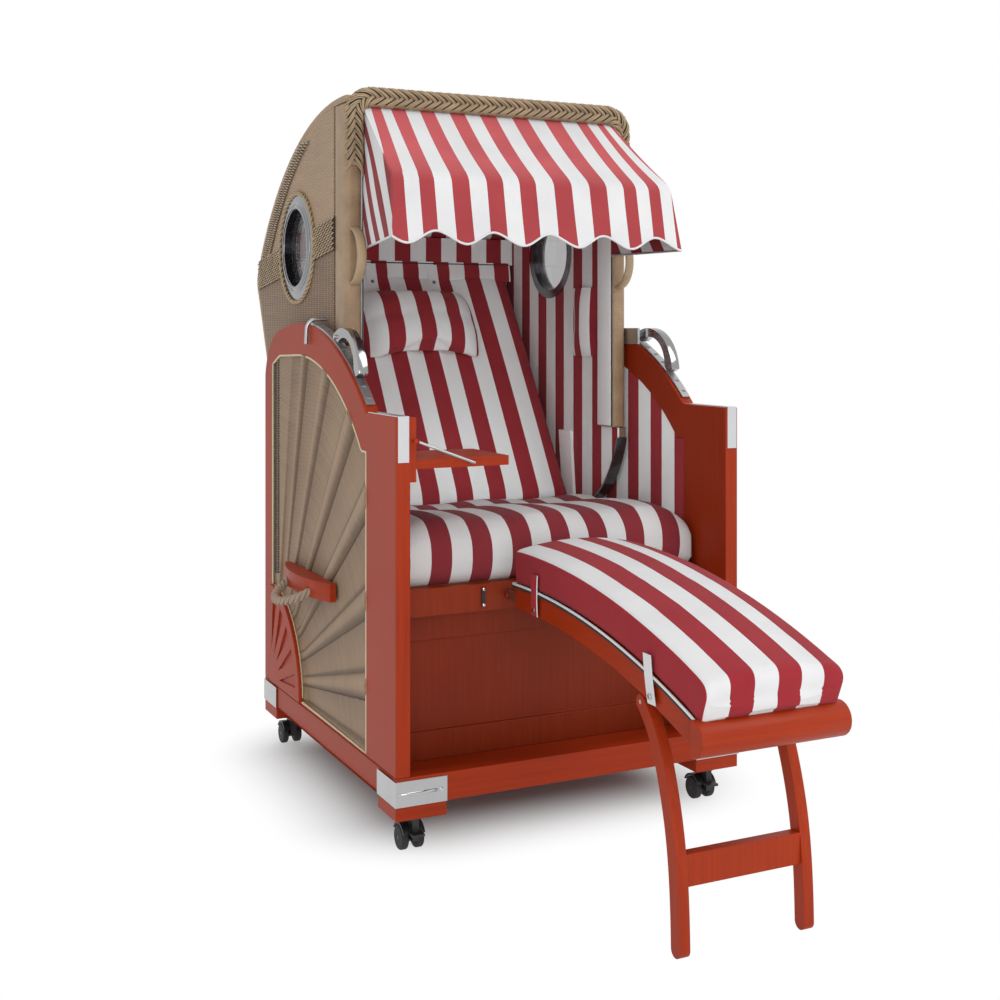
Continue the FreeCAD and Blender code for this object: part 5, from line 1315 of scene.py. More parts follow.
@dataclass
class SidePanels:
    """Fan-woven fields in the base's sides, with their piping."""
    centre_run: float = 859.0
    centre_height: float = 174.0
    front: float = 172.0
    step_height: float = 813.0
    arch_run: float = 644.0
    arch_height: float = 418.0
    arch_radius: float = 592.9
    sun: float = 244.0
    face: float = 401.5
    roll_rise: float = 17.0
    field_rise: float = 7.5
    pipe_at: float = 413.0
    rolls: tuple[float, ...] = (-4.0, 9.0, 22.5, 36.0, 48.0, 60.5, 71.0, 79.5)
    flat_rise: float = 9.0
    top_height: float = 1010.9
    top_drop: float = 4.0
    top_drop_run: float = 155.0
    corner_run: float = 799.0
    corner_length: float = 60.0
    corner_drop: float = 22.0
    roll_share: float = 0.38
    roll_least: float = 0.35
    field_least: float = 2.0
    field_bend: float = 1.5
    foot_share: float = 0.04
    weave_radius: float = 0.42
    # Depth, place and half width of each painted shade beside a roll.
    groove_shades: tuple[tuple[float, float, float], ...] = ((0.75, 0.0, 0.16), (0.5, 0.4, 0.07), (0.22, 1.0, 0.4),
                                                       (-0.14, 0.24, 0.12))
    columns: int = 420
    rows: int = 40
    thick: float = 0.007
    ladder_shade: float = 0.4
    ladder_reach: float = 22.0
    ladder_back: float = 14.0
    ladder_gap: float = 24.0
    ladder_foot: float = 34.0
    ladder_columns: int = 2
    ladder_steps: int = 85
    ladder_pitch: float = 6.4
    ladder_half: float = 9.5
    ladder_radius: float = 0.0023

    def build(self, finishes: Finishes) -> None:
        """Makes both woven fields, their cream piping and their dark stitches of painted shade."""
        piece = Bench.joined("fan_fields", [self.fan(side) for side in Side])
        Bench.smooth(piece, angle=50.0)
        fit(piece, finishes["wicker_fan"], "base", "wicker", "wicker_panels")
        fit(self.piping(), finishes["cloth_cream"], "base", "wicker")
        fit(self.ladders(), finishes["withy_painted_shade"], "base", "wicker")

    def reach(self, turn: float) -> float:
        """How far a ray from the sun corner goes before the field's edge."""
        along, up = math.cos(turn), math.sin(turn)
        limits = []
        if along > 1e-6:
            limits.append((self.centre_run - self.front) / along)
        low, high = 0.0, 1200.0
        for _ in range(40):
            middle = (low + high) / 2
            if self.inside(self.centre_run - middle * along, self.centre_height + middle * up):
                low = middle
            else:
                high = middle
        limits.append(low)
        return min(limits)

    def inside(self, run: float, height: float) -> bool:
        """Whether a point of the side lies in the woven field."""
        if run < self.front - 0.01 or run > self.centre_run + 0.01 or height < self.centre_height - 0.01:
            return False
        if run > self.arch_run:
            drop = self.top_drop * min(1.0, (run - self.arch_run) / self.top_drop_run)
            drop += self.corner_drop * max(0.0, run - self.corner_run) / self.corner_length
            return height < self.top_height - drop
        if height < self.step_height:
            return True
        return math.hypot(run - self.arch_run, height - self.arch_height) < self.arch_radius

    def roll_place(self, degrees: float) -> Optional[float]:
        """How far an angle lies on the way from one roll to the next, from 0 to 1."""
        for first, last in zip(self.rolls, self.rolls[1:]):
            if first <= degrees <= last:
                return (degrees - first) / (last - first)
        return None

    def relief(self, degrees: float, share: float) -> float:
        """How far the weave stands out at an angle, by its share of the way out."""
        if degrees > self.rolls[-1]:
            return self.flat_rise
        place = self.roll_place(degrees)
        if place is None:
            return 0.0
        grow = self.roll_least + (1 - self.roll_least) * share
        if place < self.roll_share:
            bow = 2 * place / self.roll_share - 1.0
            return self.roll_rise * grow * math.sqrt(max(0.0, 1.0 - bow * bow))
        slope = (place - self.roll_share) / (1 - self.roll_share)
        return grow * (self.field_least + self.field_rise * slope ** self.field_bend)

    def groove_shade(self, degrees: float) -> float:
        """Painted shade on the weave at an angle, beside its rolls."""
        place = self.roll_place(degrees)
        if place is None:
            return 0.0
        return sum(depth * max(0.0, 1 - abs(place - middle) / half) for depth, middle, half in self.groove_shades)

    def on_ray(self, turn: float, radius: float) -> tuple[float, float]:
        """Run and height of a point on a ray from the sun corner."""
        return self.centre_run - radius * math.cos(turn), self.centre_height + radius * math.sin(turn)

    def fan(self, side: Side) -> Piece:
        """One woven field on polar lines from the sun corner."""
        def polar(across: float, out: float) -> tuple[float, float]:
            """Angle and radius at two shares."""
            turn = math.radians(90.0 * across)
            return turn, self.sun + (self.reach(turn) - self.sun) * out

        def form(across: float, out: float) -> Vector:
            """The point at two shares."""
            rise = max(self.relief(90.0 * across, out), self.flat_rise * (1 - out / self.foot_share))
            return spot(side.value * (self.face + rise), *self.on_ray(*polar(across, out)))

        def sheet(across: float, out: float) -> tuple[float, float]:
            """Its place on the weave."""
            turn, radius = polar(across, out)
            return turn * self.weave_radius, radius * MM

        piece = Bench.grid("fan_" + side.name.lower(), self.columns, self.rows, form, sheet)
        Bench.face_way(piece, Vector((side.value, 0, 0)))
        dark = piece.data.attributes.new("groove_shade", "FLOAT", "POINT")
        for point, value in zip(piece.data.vertices, dark.data):
            back = self.centre_run - (point.co.y / MM + FRONT_RUN)
            turn = math.degrees(math.atan2(point.co.z / MM - self.centre_height, back))
            # Painted shade: beside the rolls, and in the strip along the rear edge behind the cross stitches.
            value.value = self.groove_shade(turn) + (self.ladder_shade if back < self.ladder_reach else 0.0)
        Bench.modify(piece, "SOLIDIFY", thickness=self.thick, offset=-1.0)
        return piece

    def border(self, inset: float) -> list[tuple[float, float]]:
        """Corners and arc of the field's edge, from the sun's foot round to its top."""
        turns = (math.radians(90.0 * step / 180) for step in range(181))
        return [self.on_ray(turn, self.reach(turn) - inset) for turn in turns]

    def piping(self) -> Piece:
        """Cream piping round the field and along the sun corner."""
        skein = Skein()
        for side in Side:
            x = side.value * self.pipe_at
            arc = [self.on_ray(math.radians(90.0 - 3.0 * step), self.sun) for step in range(31)]
            loop = [spot(x, run, height) for run, height in self.border(2.0) + arc]
            corner = spot(x, self.front + 2.0, self.step_height - 2.0)
            skein.lay(self.with_corner(loop, corner), radius=0.0028, sides=8, closed=True)
        return Bench.woven("field_piping", skein)

    @staticmethod
    def with_corner(loop: list[Vector], corner: Vector) -> list[Vector]:
        """A loop with its nearest point moved to a corner."""
        nearest = min(range(len(loop)), key=lambda index: (loop[index] - corner).length)
        return loop[:nearest] + [corner] + loop[nearest + 1:]

    def ladders(self) -> Piece:
        """Columns of dark cross stitches near the rear edge, painted shade for the gaps between the ladders' strands.
        """
        skein = Skein()
        for side in Side:
            x = side.value * (self.face + self.flat_rise + 1.0)
            for column in range(self.ladder_columns):
                run = self.centre_run - self.ladder_back - self.ladder_gap * column
                foot = self.centre_height + self.sun + self.ladder_foot
                for step in range(self.ladder_steps):
                    height = foot + self.ladder_pitch * (step + 0.5 * column)
                    if self.inside(run, height + 6.0):
                        ends = [spot(x, run + way * self.ladder_half, height) for way in (-1, 1)]
                        skein.bead(*ends, self.ladder_radius)
        return Bench.woven("cross_stitches", skein)


@dataclass
class Awning:
    """Striped awning sheet with a lobed valance and white piping."""
    top: tuple[float, float, float] = (330.0, 418.0, 1583.8)
    crease: tuple[float, float, float] = (350.0, 180.0, 1406.4)
    foot: tuple[float, float, float] = (364.0, 152.0, 1256.4)
    top_stripes: tuple[tuple[float, float], ...] = ((-337.5, -9.0), (-263.5, -6.0), (-154.0, -3.0), (-35.2, 0.0),
                                                    (93.4, 3.0), (229.6, 6.0), (286.7, 8.0), (322.0, 10.0))
    foot_stripes: tuple[tuple[float, float], ...] = ((-362.0, -8.0), (-256.4, -5.0), (-129.9, -2.0), (-7.7, 1.0),
                                                     (84.6, 3.0), (221.7, 6.0), (289.4, 8.0), (351.0, 10.0))
    lobe: float = 139.0
    lobe_shift: float = 87.0
    rise: float = 28.0
    columns: int = 136
    slope_rows: int = 30
    fall_rows: int = 18
    ease: float = 0.09
    sag: float = 4.0
    sag_middle: float = 3.0
    wave: float = 5.0
    crinkle: float = 1.4
    crinkle_rate: float = 0.021
    cheek_bulge: float = 5.0
    cheek_middle: tuple[float, float] = (275.0, 1477.0)
    cheek_way: tuple[float, float] = (0.827, 0.563)
    cheek_pitches: tuple[float, float] = (100.0, 34.0)
    cheek_change: float = 80.0
    cheek_first: tuple[float, float] = (-8.04, 9.9)
    piping_steps: int = 240

    def build(self, finishes: Finishes) -> None:
        """Makes the sheet and its piping."""
        parts = [self.front("awning_slope", self.slope_rows, 0.0), self.front("awning_valance", self.fall_rows, 1.0)]
        parts += [self.cheek(side) for side in Side]
        piece = Bench.joined("awning_sheet", parts, merge=0.0006)
        Bench.face_way(piece, Vector((0, -1, 0.6)))
        Bench.modify(piece, "SOLIDIFY", thickness=0.0016, offset=0.0)
        Bench.smooth(piece, angle=60.0)
        dress(piece, finishes["stripes_awning"])
        piping = dress(self.piping(), finishes["cloth_white"])
        for part in (piece, piping):
            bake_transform(part)
        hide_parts("awning_canopy")
        LOG.info("awning sheet and piping bend between hood and awning")

    def edge(self, place: float) -> Vector:
        """The right corner line, from the top at 0 over the crease at 1 to the foot at 2."""
        first, last = (self.top, self.crease) if place <= 1 else (self.crease, self.foot)
        share = place if place <= 1 else place - 1
        return Vector(first).lerp(Vector(last), share)

    def eased(self, place: float) -> Vector:
        """The corner line with its crease softened."""
        reach = self.ease
        if abs(place - 1) < reach:
            start, end = self.edge(1 - reach), self.edge(1 + reach)
            share = (place - 1 + reach) / (2 * reach)
            return (start * (1 - share) ** 2 + self.edge(1.0) * (2 * share * (1 - share)) + end * share ** 2)
        return self.edge(place)

    def lift(self, x: float) -> float:
        """How far the valance's lower edge rises at a place across."""
        off = abs(((x - self.lobe_shift) / self.lobe + 0.5) % 1.0 - 0.5) * 2
        return self.rise * off * off * (3 - 2 * off)

    def ripple(self, x: float, fall: float) -> float:
        """How far the valance waves in and out."""
        swing = math.cos(2 * math.pi * (x - self.lobe_shift) / self.lobe)
        return self.wave * fall * fall * swing + self.crinkle * fall * math.sin(x * self.crinkle_rate)

    def front_point(self, across: float, place: float) -> Vector:
        """A point of the slope or the valance."""
        corner = self.eased(place)
        x = (2 * across - 1) * corner.x
        run, height = corner.y, corner.z
        middle = 1 - (2 * across - 1) ** 2
        if place <= 1:
            sag = math.sin(math.pi * place) * (self.sag + self.sag_middle * middle)
            run, height = run + sag * 0.4, height - sag * 0.9
        else:
            fall = place - 1
            height += self.lift(x) * fall
            run -= self.ripple(x, fall) * middle ** 0.25
        return spot(x, run, height)

    @staticmethod
    def along_table(table: Sequence[tuple[float, float]], x: float) -> float:
        """A value between a table's rows, and beyond its ends on their slopes."""
        for (low, first), (high, last) in zip(table, table[1:]):
            if x <= high or (high, last) == table[-1]:
                return first + (last - first) * (x - low) / (high - low)
        return 0.0

    def crowd(self, across: float, place: float) -> tuple[float, float]:
        """Stripe count across, closer together towards the corners."""
        x = (2 * across - 1) * self.edge(place).x
        high = self.along_table(self.top_stripes, x)
        low = self.along_table(self.foot_stripes, x)
        share = min(1.0, place)
        return high * (1 - share) + low * share, place

    def front(self, name: str, rows: int, first: float) -> Piece:
        """The sloping part from 0, or the hanging front from 1."""
        return Bench.grid(name, self.columns, rows, lambda across, out: self.front_point(across, first + out),
                          lambda across, out: self.crowd(across, first + out))

    def cheek(self, side: Side) -> Piece:
        """One side, between the sloping corner and the post."""
        corner = 1.0 if side is Side.RIGHT else 0.0

        def form(along: float, down: float) -> Vector:
            """The point between the cheek's four edges."""
            above = self.front_point(corner, along)
            front = self.front_point(corner, 1 + down)
            crease = self.front_point(corner, 1.0)
            back = spot(side.value * self.top[0], self.top[1], self.top[2])
            low_back = spot(side.value * self.top[0], self.top[1], self.foot[2])
            foot = self.front_point(corner, 2.0)
            rear = back.lerp(low_back, down)
            under = low_back.lerp(foot, along)
            blend = (above * (1 - down) + under * down + rear * (1 - along) + front * along
                     - back * ((1 - along) * (1 - down)) - crease * (along * (1 - down))
                     - low_back * ((1 - along) * down) - foot * (along * down))
            bulge = math.sin(math.pi * along) * math.sin(math.pi * down) * self.cheek_bulge * MM
            return blend + Vector((side.value * bulge, 0, 0))

        def sheet(along: float, down: float) -> tuple[float, float]:
            """Its stripe count, with wider stripes next to the slope."""
            point = form(along, down)
            run, height = point.y / MM + FRONT_RUN, point.z / MM
            behind, above = run - self.cheek_middle[0], height - self.cheek_middle[1]
            across = behind * self.cheek_way[0] - above * self.cheek_way[1]
            steep = (self.top[2] - self.crease[2]) / (self.top[1] - self.crease[1])
            under = self.crease[2] + (run - self.crease[1]) * steep - height
            share = min(1.0, max(0.0, under) / self.cheek_change)
            count = across * ((1 - share) / self.cheek_pitches[0] + share / self.cheek_pitches[1])
            return self.cheek_first[side is Side.RIGHT] + side.value * count, down

        return Bench.grid("awning_cheek_" + side.name.lower(), self.slope_rows, self.fall_rows, form, sheet)

    def piping(self) -> Piece:
        """White piping along the lobes and the cheeks' feet."""
        line = [spot(-self.top[0], self.top[1] - 2.0, self.foot[2])]
        line += [self.front_point(step / self.piping_steps, 2.0) for step in range(self.piping_steps + 1)]
        line.append(spot(self.top[0], self.top[1] - 2.0, self.foot[2]))
        skein = Skein()
        skein.lay(line, radius=0.0027, sides=8)
        return Bench.woven("awning_piping", skein)


@dataclass
class Upholstery:
    """Cushions, pads and linings."""
    rise: Vector = field(default_factory=lambda: Vector((0, 402, 625)).normalized())
    out: Vector = field(default_factory=lambda: Vector((0, -625, 402)).normalized())
    rest_half: float = 146.0
    rest_thick: float = 74.0
    rest_round: float = 11.0
    rest_front: float = 24.0
    rest_crown: float = 17.0
    rest_back: float = 41.6
    rest_end: float = -653.4
    rest_ends: tuple[tuple[float, float], ...] = ((3.0, 0.8), (6.0, 0.45), (7.0, 0.1))
    arch_radius: float = 1808.0
    arch_run: float = -27.6
    arch_top: float = 534.4
    swell_frames: int = 20
    COVER = {"quality": 4, "mass": 0.3, "tension_stiffness": 12.0, "compression_stiffness": 12.0,
             "bending_stiffness": 0.6, "use_pressure": True, "uniform_pressure_force": 4.0}

    def build(self, finishes: Finishes) -> None:
        """Makes the cushions, the linings, the straps and the wall pocket."""
        for name, node, body, cloth, voxel, cap, under, fill in (
                ("seat_pad", "seat_cushion", "base", "stripes_seat", 0.0075, 0.010, Vector((0, 0, -1)), 0.7),
                ("back_pad", "backrest_pad", "hood", "stripes_wide", 0.0075, 0.008, -self.out, 0.7),
                ("neck_pillow", "pillow", "hood", "stripes_pillow", 0.005, 0.012, -self.out, 0.8)):
            self.cushion(name, node, body, finishes[cloth], voxel, cap, under)
        self.rest_cushion(finishes)
        self.post_linings(finishes)
        self.linings("hood_walls", "hood_linings", "hood", finishes["stripes_hood"], finishes)
        self.linings("base_walls", "side_linings", "base", finishes["stripes_base"], finishes)
        self.back_apron(finishes)
        self.pillow_straps(finishes)
        self.wall_pocket(finishes)
        self.rest_piping(finishes)
        self.rest_straps(finishes)

    def cushion(self, name: str, node: str, body: str, cloth: Material, voxel: float, cap: float,
                under: Vector) -> Piece:
        """One stuffed piece, swelled inside its cover.

        Args:
            name: the piece's name.
            node: the solid that it stands for.
            body: the body that carries it.
            cloth: its cover.
            voxel: the size of its remesh.
            cap: how far a point may move.
            under: the way to what it rests on.

        Returns:
            The piece.
        """
        piece = Bench.copied(name, node)
        Bench.modify(piece, "REMESH", mode="VOXEL", voxel_size=voxel, use_smooth_shade=True)
        before = self.box(piece)
        Bench.modify(piece, "SMOOTH", factor=0.5, iterations=6)
        self.fill_box(piece, before)
        self.swell(piece, cap, under)
        Bench.modify(piece, "SUBSURF", levels=1, render_levels=1)
        Bench.smooth(piece, angle=180.0)
        fit(piece, cloth, body, "striped_cloth", node)
        return piece

    def swell(self, piece: Piece, cap: float, under: Vector) -> None:
        """Lets air pressure fill a cover, and holds each point near its start.

        Args:
            piece: the piece.
            cap: how far a point may move.
            under: the way to what it rests on, along which nothing moves.
        """
        rest = [point.co.copy() for point in piece.data.vertices]
        Bench.pick(piece)
        cloth = piece.modifiers.new("cover", "CLOTH")
        for key, value in self.COVER.items():
            setattr(cloth.settings, key, value)
        cloth.settings.effector_weights.gravity = 0.0
        cloth.collision_settings.use_collision = False
        cloth.point_cache.frame_start = 1
        cloth.point_cache.frame_end = self.swell_frames
        scene = bpy.context.scene
        for number in range(1, self.swell_frames + 1):
            scene.frame_set(number)
        bpy.ops.object.modifier_apply(modifier=cloth.name)
        scene.frame_set(1)
        for point, start in zip(piece.data.vertices, rest):
            move = point.co - start
            sunk = move.dot(under)
            if sunk > 0:
                move -= under * sunk
            if move.length > cap:
                move *= cap / move.length
            point.co = start + move
        piece.data.update()

    @staticmethod
    def box(piece: Piece) -> tuple[Vector, Vector]:
        """The low and high corners of a piece."""
        points = [point.co for point in piece.data.vertices]
        low = Vector(min(point[axis.value] for point in points) for axis in Axis)
        high = Vector(max(point[axis.value] for point in points) for axis in Axis)
        return low, high

    def fill_box(self, piece: Piece, wanted: tuple[Vector, Vector]) -> None:
        """Gives a smoothed piece back the room that smoothing took."""
        low, high = self.box(piece)
        for point in piece.data.vertices:
            for index in (axis.value for axis in Axis):
                share = (point.co[index] - low[index]) / (high[index] - low[index])
                point.co[index] = wanted[0][index] + share * (wanted[1][index] - wanted[0][index])
        piece.data.update()

    @staticmethod
    def linings(name: str, node: str, body: str, walls: Material, finishes: Finishes) -> None:
        """Cloth stretched on the inside of the walls."""
        piece = Bench.copied(name, node)
        Bench.modify(piece, "DECIMATE", decimate_type="DISSOLVE", angle_limit=math.radians(1.0))
        Bench.modify(piece, "BEVEL", width=0.0018, segments=2, limit_method="ANGLE", angle_limit=math.radians(40))
        Bench.modify(piece, "TRIANGULATE")
        Bench.smooth(piece, angle=30.0)
        fit(piece, walls, body, "striped_cloth", node)
        piece.data.materials.append(finishes["stripes_wide"])
        for face in piece.data.polygons:
            face.material_index = 0 if abs(face.normal.x) > 0.5 else 1

    def back_apron(self, finishes: Finishes) -> None:
        """A strip of the back's cloth that closes the slot under the pelmet, with a dark cord at its top as painted
        shade under the pelmet's edge.
        """
        low, high = spot(0, 1004.0, 1208.5), spot(0, 1013.5, 1262.0)
        half = 337.0

        def form(across: float, up: float) -> Vector:
            """The point at two shares."""
            bow = 2.5 * MM * math.sin(math.pi * up)
            return low.lerp(high, up) + Vector(((2 * across - 1) * half * MM, -bow, 0))

        piece = Bench.cloth("back_apron", (40, 8), form, Vector((0, -1, 0)), 0.0018, -1.0)
        Bench.smooth(piece, angle=60.0)
        fit(piece, finishes["stripes_wide"], "hood", "striped_cloth")
        skein = Skein()
        cord = [spot(x, 1013.0, 1256.5) for x in (-half, half)]
        skein.lay(spaced(cord, 0.03), radius=0.0022, sides=8)
        fit(Bench.woven("pelmet_shade_cord", skein), finishes["webbing"], "hood", "dark_trim")

    def on_back(self, x: float, along: float, off: float) -> Vector:
        """A point by its distance up the backrest and off it, in millimetres."""
        return spot(x, 624.0, 620.0) + (self.rise * along + self.out * off) * MM

    def pillow_straps(self, finishes: Finishes) -> None:
        """Two white straps with dark snaps that hold the pillow."""
        straps = []
        snaps = []
        middle, width, foot, length, bend, slope = 92.0, 30.0, 606.0, 136.0, 690.0, 0.27
        for side in Side:
            x = side.value * middle

            def form(across: float, along: float, x: float = x) -> Vector:
                """The point at two shares."""
                reach = foot + length * along
                off = 2.5 + 1.5 * math.sin(math.pi * along) + max(0.0, reach - bend) * slope
                return self.on_back(x + (across - 0.5) * width, reach, off)

            straps.append(Bench.cloth("strap_" + side.name.lower(), (6, 20), form, self.out, 0.0022))
            for along in (650.0, 690.0):
                snaps.append(Bench.rod("snap", self.on_back(x, along, 5.4), self.out,
                                       radius=0.0052, length=0.004, ease=0.0012, sides=14))
        strap = Bench.joined("pillow_tapes", straps)
        Bench.smooth(strap)
        fit(strap, finishes["lining_white"], "hood", "striped_cloth", "pillow_straps")
        fit(Bench.joined("pillow_snaps", snaps), finishes["grey_hub"], "hood", "chrome")

    @staticmethod
    def wall_pocket(finishes: Finishes) -> None:
        """A slim cloth pocket on the right wall of the hood."""
        wall, front, width, foot, tall = 348.5, 520.0, 124.0, 1002.0, 178.0

        def form(across: float, up: float) -> Vector:
            """The point at two shares, bowed out in the middle and a little wavy at the rear edge."""
            bow = 17.0 * math.sin(math.pi * across) * (0.45 + 0.55 * math.sin(math.pi * up))
            wave = 2.0 * math.sin(9.0 * up) * across
            return spot(wall - bow - wave, front + width * across, foot + tall * up)

        piece = Bench.cloth("wall_pocket", (16, 20), form, Vector((-1, 0, 0)), 0.0025)
        Bench.smooth(piece, angle=60.0)
        fit(piece, finishes["stripes_pocket"], "hood", "striped_cloth")

    def rest_edge(self, run: float, grow: float) -> float:
        """Height of the footrest's arch at a run, grown outwards."""
        radius = self.arch_radius + grow
        return self.arch_top - self.arch_radius + math.sqrt(radius * radius - (run - self.arch_run) ** 2)

    def rest_ring(self, turn: float, inset: float, shrink: float = 1.0, drop: float = 0.0) -> list[Vector]:
        """The footrest cushion cut across its arch.

        Args:
            turn: angle along the arch.
            inset: how far the cut is drawn in all round.
            shrink: its size about its middle.
            drop: how far its top is let down.

        Returns:
            Points round the cut.
        """
        half, high = self.rest_half - inset, self.rest_thick
        bend = max(1.0, self.rest_round - inset)
        flat = half - bend
        low, top = inset, high - inset - drop
        corners = ((-flat, low + bend), (-flat, top - bend), (flat, top - bend), (flat, low + bend))

        def bent(number: int, step: int) -> tuple[float, float]:
            """A point of a rounded corner, in steps of 30 degrees."""
            way = math.radians(270 - 90 * number - 30 * step)
            return corners[number][0] + bend * math.cos(way), corners[number][1] + bend * math.sin(way)

        section = [(flat * (1 - 2 * step / 14), low) for step in range(15)]
        for number, faces in enumerate((5, 22, 5)):
            section += [bent(number, step) for step in range(1, 4)]
            (x, lift), (to_x, to_lift) = bent(number, 3), bent(number + 1, 0)
            section += [(x + (to_x - x) * step / faces, lift + (to_lift - lift) * step / faces)
                        for step in range(1, faces + 1)]
        section += [bent(3, step) for step in range(1, 3)]
        ring = []
        for x, lift in section:
            crown = self.rest_crown * (1 - (x / self.rest_half) ** 2) * lift / high
            x, lift = x * shrink, (low + top) / 2 + (lift + crown - (low + top) / 2) * shrink
            radius = self.arch_radius + 0.5 + lift
            ring.append(spot(x, self.arch_run + radius * math.sin(turn),
                             self.arch_top - self.arch_radius + radius * math.cos(turn)))
        return ring

    def rest_cushion(self, finishes: Finishes) -> None:
        """The footrest's box cushion, bent along its arch."""
        start, end = (math.asin(run / self.arch_radius) for run in (self.rest_back, self.rest_end))
        length = (start - end) * self.arch_radius

        def eased(left: float, bend: float) -> float:
            """How far a rounded edge lies in, by the length left to its end."""
            return bend - math.sqrt(bend ** 2 - (bend - left) ** 2) if left < bend else 0.0

        rim, front = self.rest_round, self.rest_front
        turns = [math.radians(15 * step) for step in range(7)]
        places = [rim * (1 - math.cos(turn)) for turn in turns]
        places += [rim + (length - rim - front) * step / 72 for step in range(1, 72)]
        places += [length - front * (1 - math.sin(turn)) for turn in turns]
        rings = [self.rest_ring(start, rim, shrink) for shrink in (0.1, 0.4, 0.7)]
        rings += [self.rest_ring(start - done / self.arch_radius, eased(min(done, length - done), rim), 1.0,
                                 eased(length - done, front)) for done in places]
        rings += [self.rest_ring(end - bulge / self.arch_radius, rim, shrink, front)
                  for bulge, shrink in self.rest_ends]
        skein = Skein()
        skein.rings(rings)
        piece = Bench.woven("rest_pad", skein)
        cut = piece.data.attributes.new("cut", "FLOAT", "POINT")
        for point, value in zip(piece.data.vertices, cut.data):
            value.value = point.co.x
        self.swell(piece, 0.004, Vector((0, 0, -1)))
        Bench.modify(piece, "SUBSURF", levels=1, render_levels=1)
        Bench.smooth(piece, angle=60.0)
        fit(piece, finishes["stripes_rest"], "footrest", "striped_cloth", "footrest_cushion")

    @staticmethod
    def post_linings(finishes: Finishes) -> None:
        """White cloth on the inner face of the hood's posts, with a dark cord at its front edge."""
        panels = []
        skein = Skein()
        inner, outer, front, back = 328.6, 332.2, 419.5, 486.0
        foot, top, cord_top = 829.0, 1584.0, 1440.0
        for side in Side:
            ends = sorted((side.value * inner, side.value * outer))
            low, high = spot(ends[0], front, foot), spot(ends[1], back, top)
            panels.append(Bench.slab("post_lining", low, high, ease=0.001))
            cord = [spot(side.value * 331.0, 419.0, height) for height in (foot, cord_top)]
            skein.lay(spaced(cord, 0.05), radius=0.0017, sides=8)
        piece = Bench.joined("post_linings", panels)
        fit(piece, finishes["lining_white"], "hood", "striped_cloth")
        fit(Bench.woven("post_cords", skein), finishes["webbing"], "hood", "dark_trim")

    def rest_piping(self, finishes: Finishes) -> None:
        """White piping round the foot of the footrest's cushion, over a dark bead that is painted shade for the gap
        between the cushion and its rails.
        """
        start, length, steps = 13.0, 695.0, 60
        runs = [start - length * step / steps for step in range(steps + 1)]
        for name, half, grow, radius, cloth, slot in (
                ("rest_piping", 146.5, 4.0, 0.0026, "cloth_white", "striped_cloth"),
                ("rest_gap_shade", 145.0, -1.0, 0.0034, "webbing", "dark_trim")):
            line = [spot(-half, run, self.rest_edge(run, grow)) for run in runs]
            line += [spot(half, run, self.rest_edge(run, grow)) for run in reversed(runs)]
            skein = Skein()
            skein.lay(spaced(line + [line[0]], 0.02)[:-1], radius=radius, sides=8, closed=True)
            fit(Bench.woven(name, skein), finishes[cloth], "footrest", slot)

    @staticmethod
    def rest_straps(finishes: Finishes) -> None:
        """Short straps with snaps that hold the footrest's cushion down on both sides."""
        snaps = []
        edges = Skein()
        half, width = 149.0, 24.0
        for name, cloth, high, low in (("rest_straps_red", "cloth_red", (-91.0, 573.0), (-91.0, 489.0)),
                                       ("rest_straps_white", "cloth_white", (-520.0, 503.0), (-536.0, 418.0))):
            straps = []
            for side in Side:
                def form(across: float, down: float, side: Side = side) -> Vector:
                    """The point at two shares."""
                    run = high[0] + (low[0] - high[0]) * down + (across - 0.5) * width
                    bow = 1.2 * math.sin(math.pi * down)
                    return spot(side.value * (half + bow), run, high[1] + (low[1] - high[1]) * down)

                way = Vector((side.value, 0, 0))
                straps.append(Bench.cloth(name + side.name.lower(), (4, 12), form, way, 0.0018))
                edges.lay([form(0.0, step / 10) for step in range(11)], radius=0.0013, sides=6)
                snaps.append(Bench.rod("strap_snap", form(0.5, 0.84) + way * 0.0018, way,
                                       radius=0.0056, length=0.0036, ease=0.001, sides=14))
            piece = Bench.joined(name, straps)
            Bench.smooth(piece)
            fit(piece, finishes[cloth], "footrest", "striped_cloth")
        fit(Bench.woven("strap_edges", edges), finishes["cloth_white"], "footrest", "striped_cloth")
        fit(Bench.joined("rest_snaps", snaps), finishes["chrome"], "footrest", "chrome")


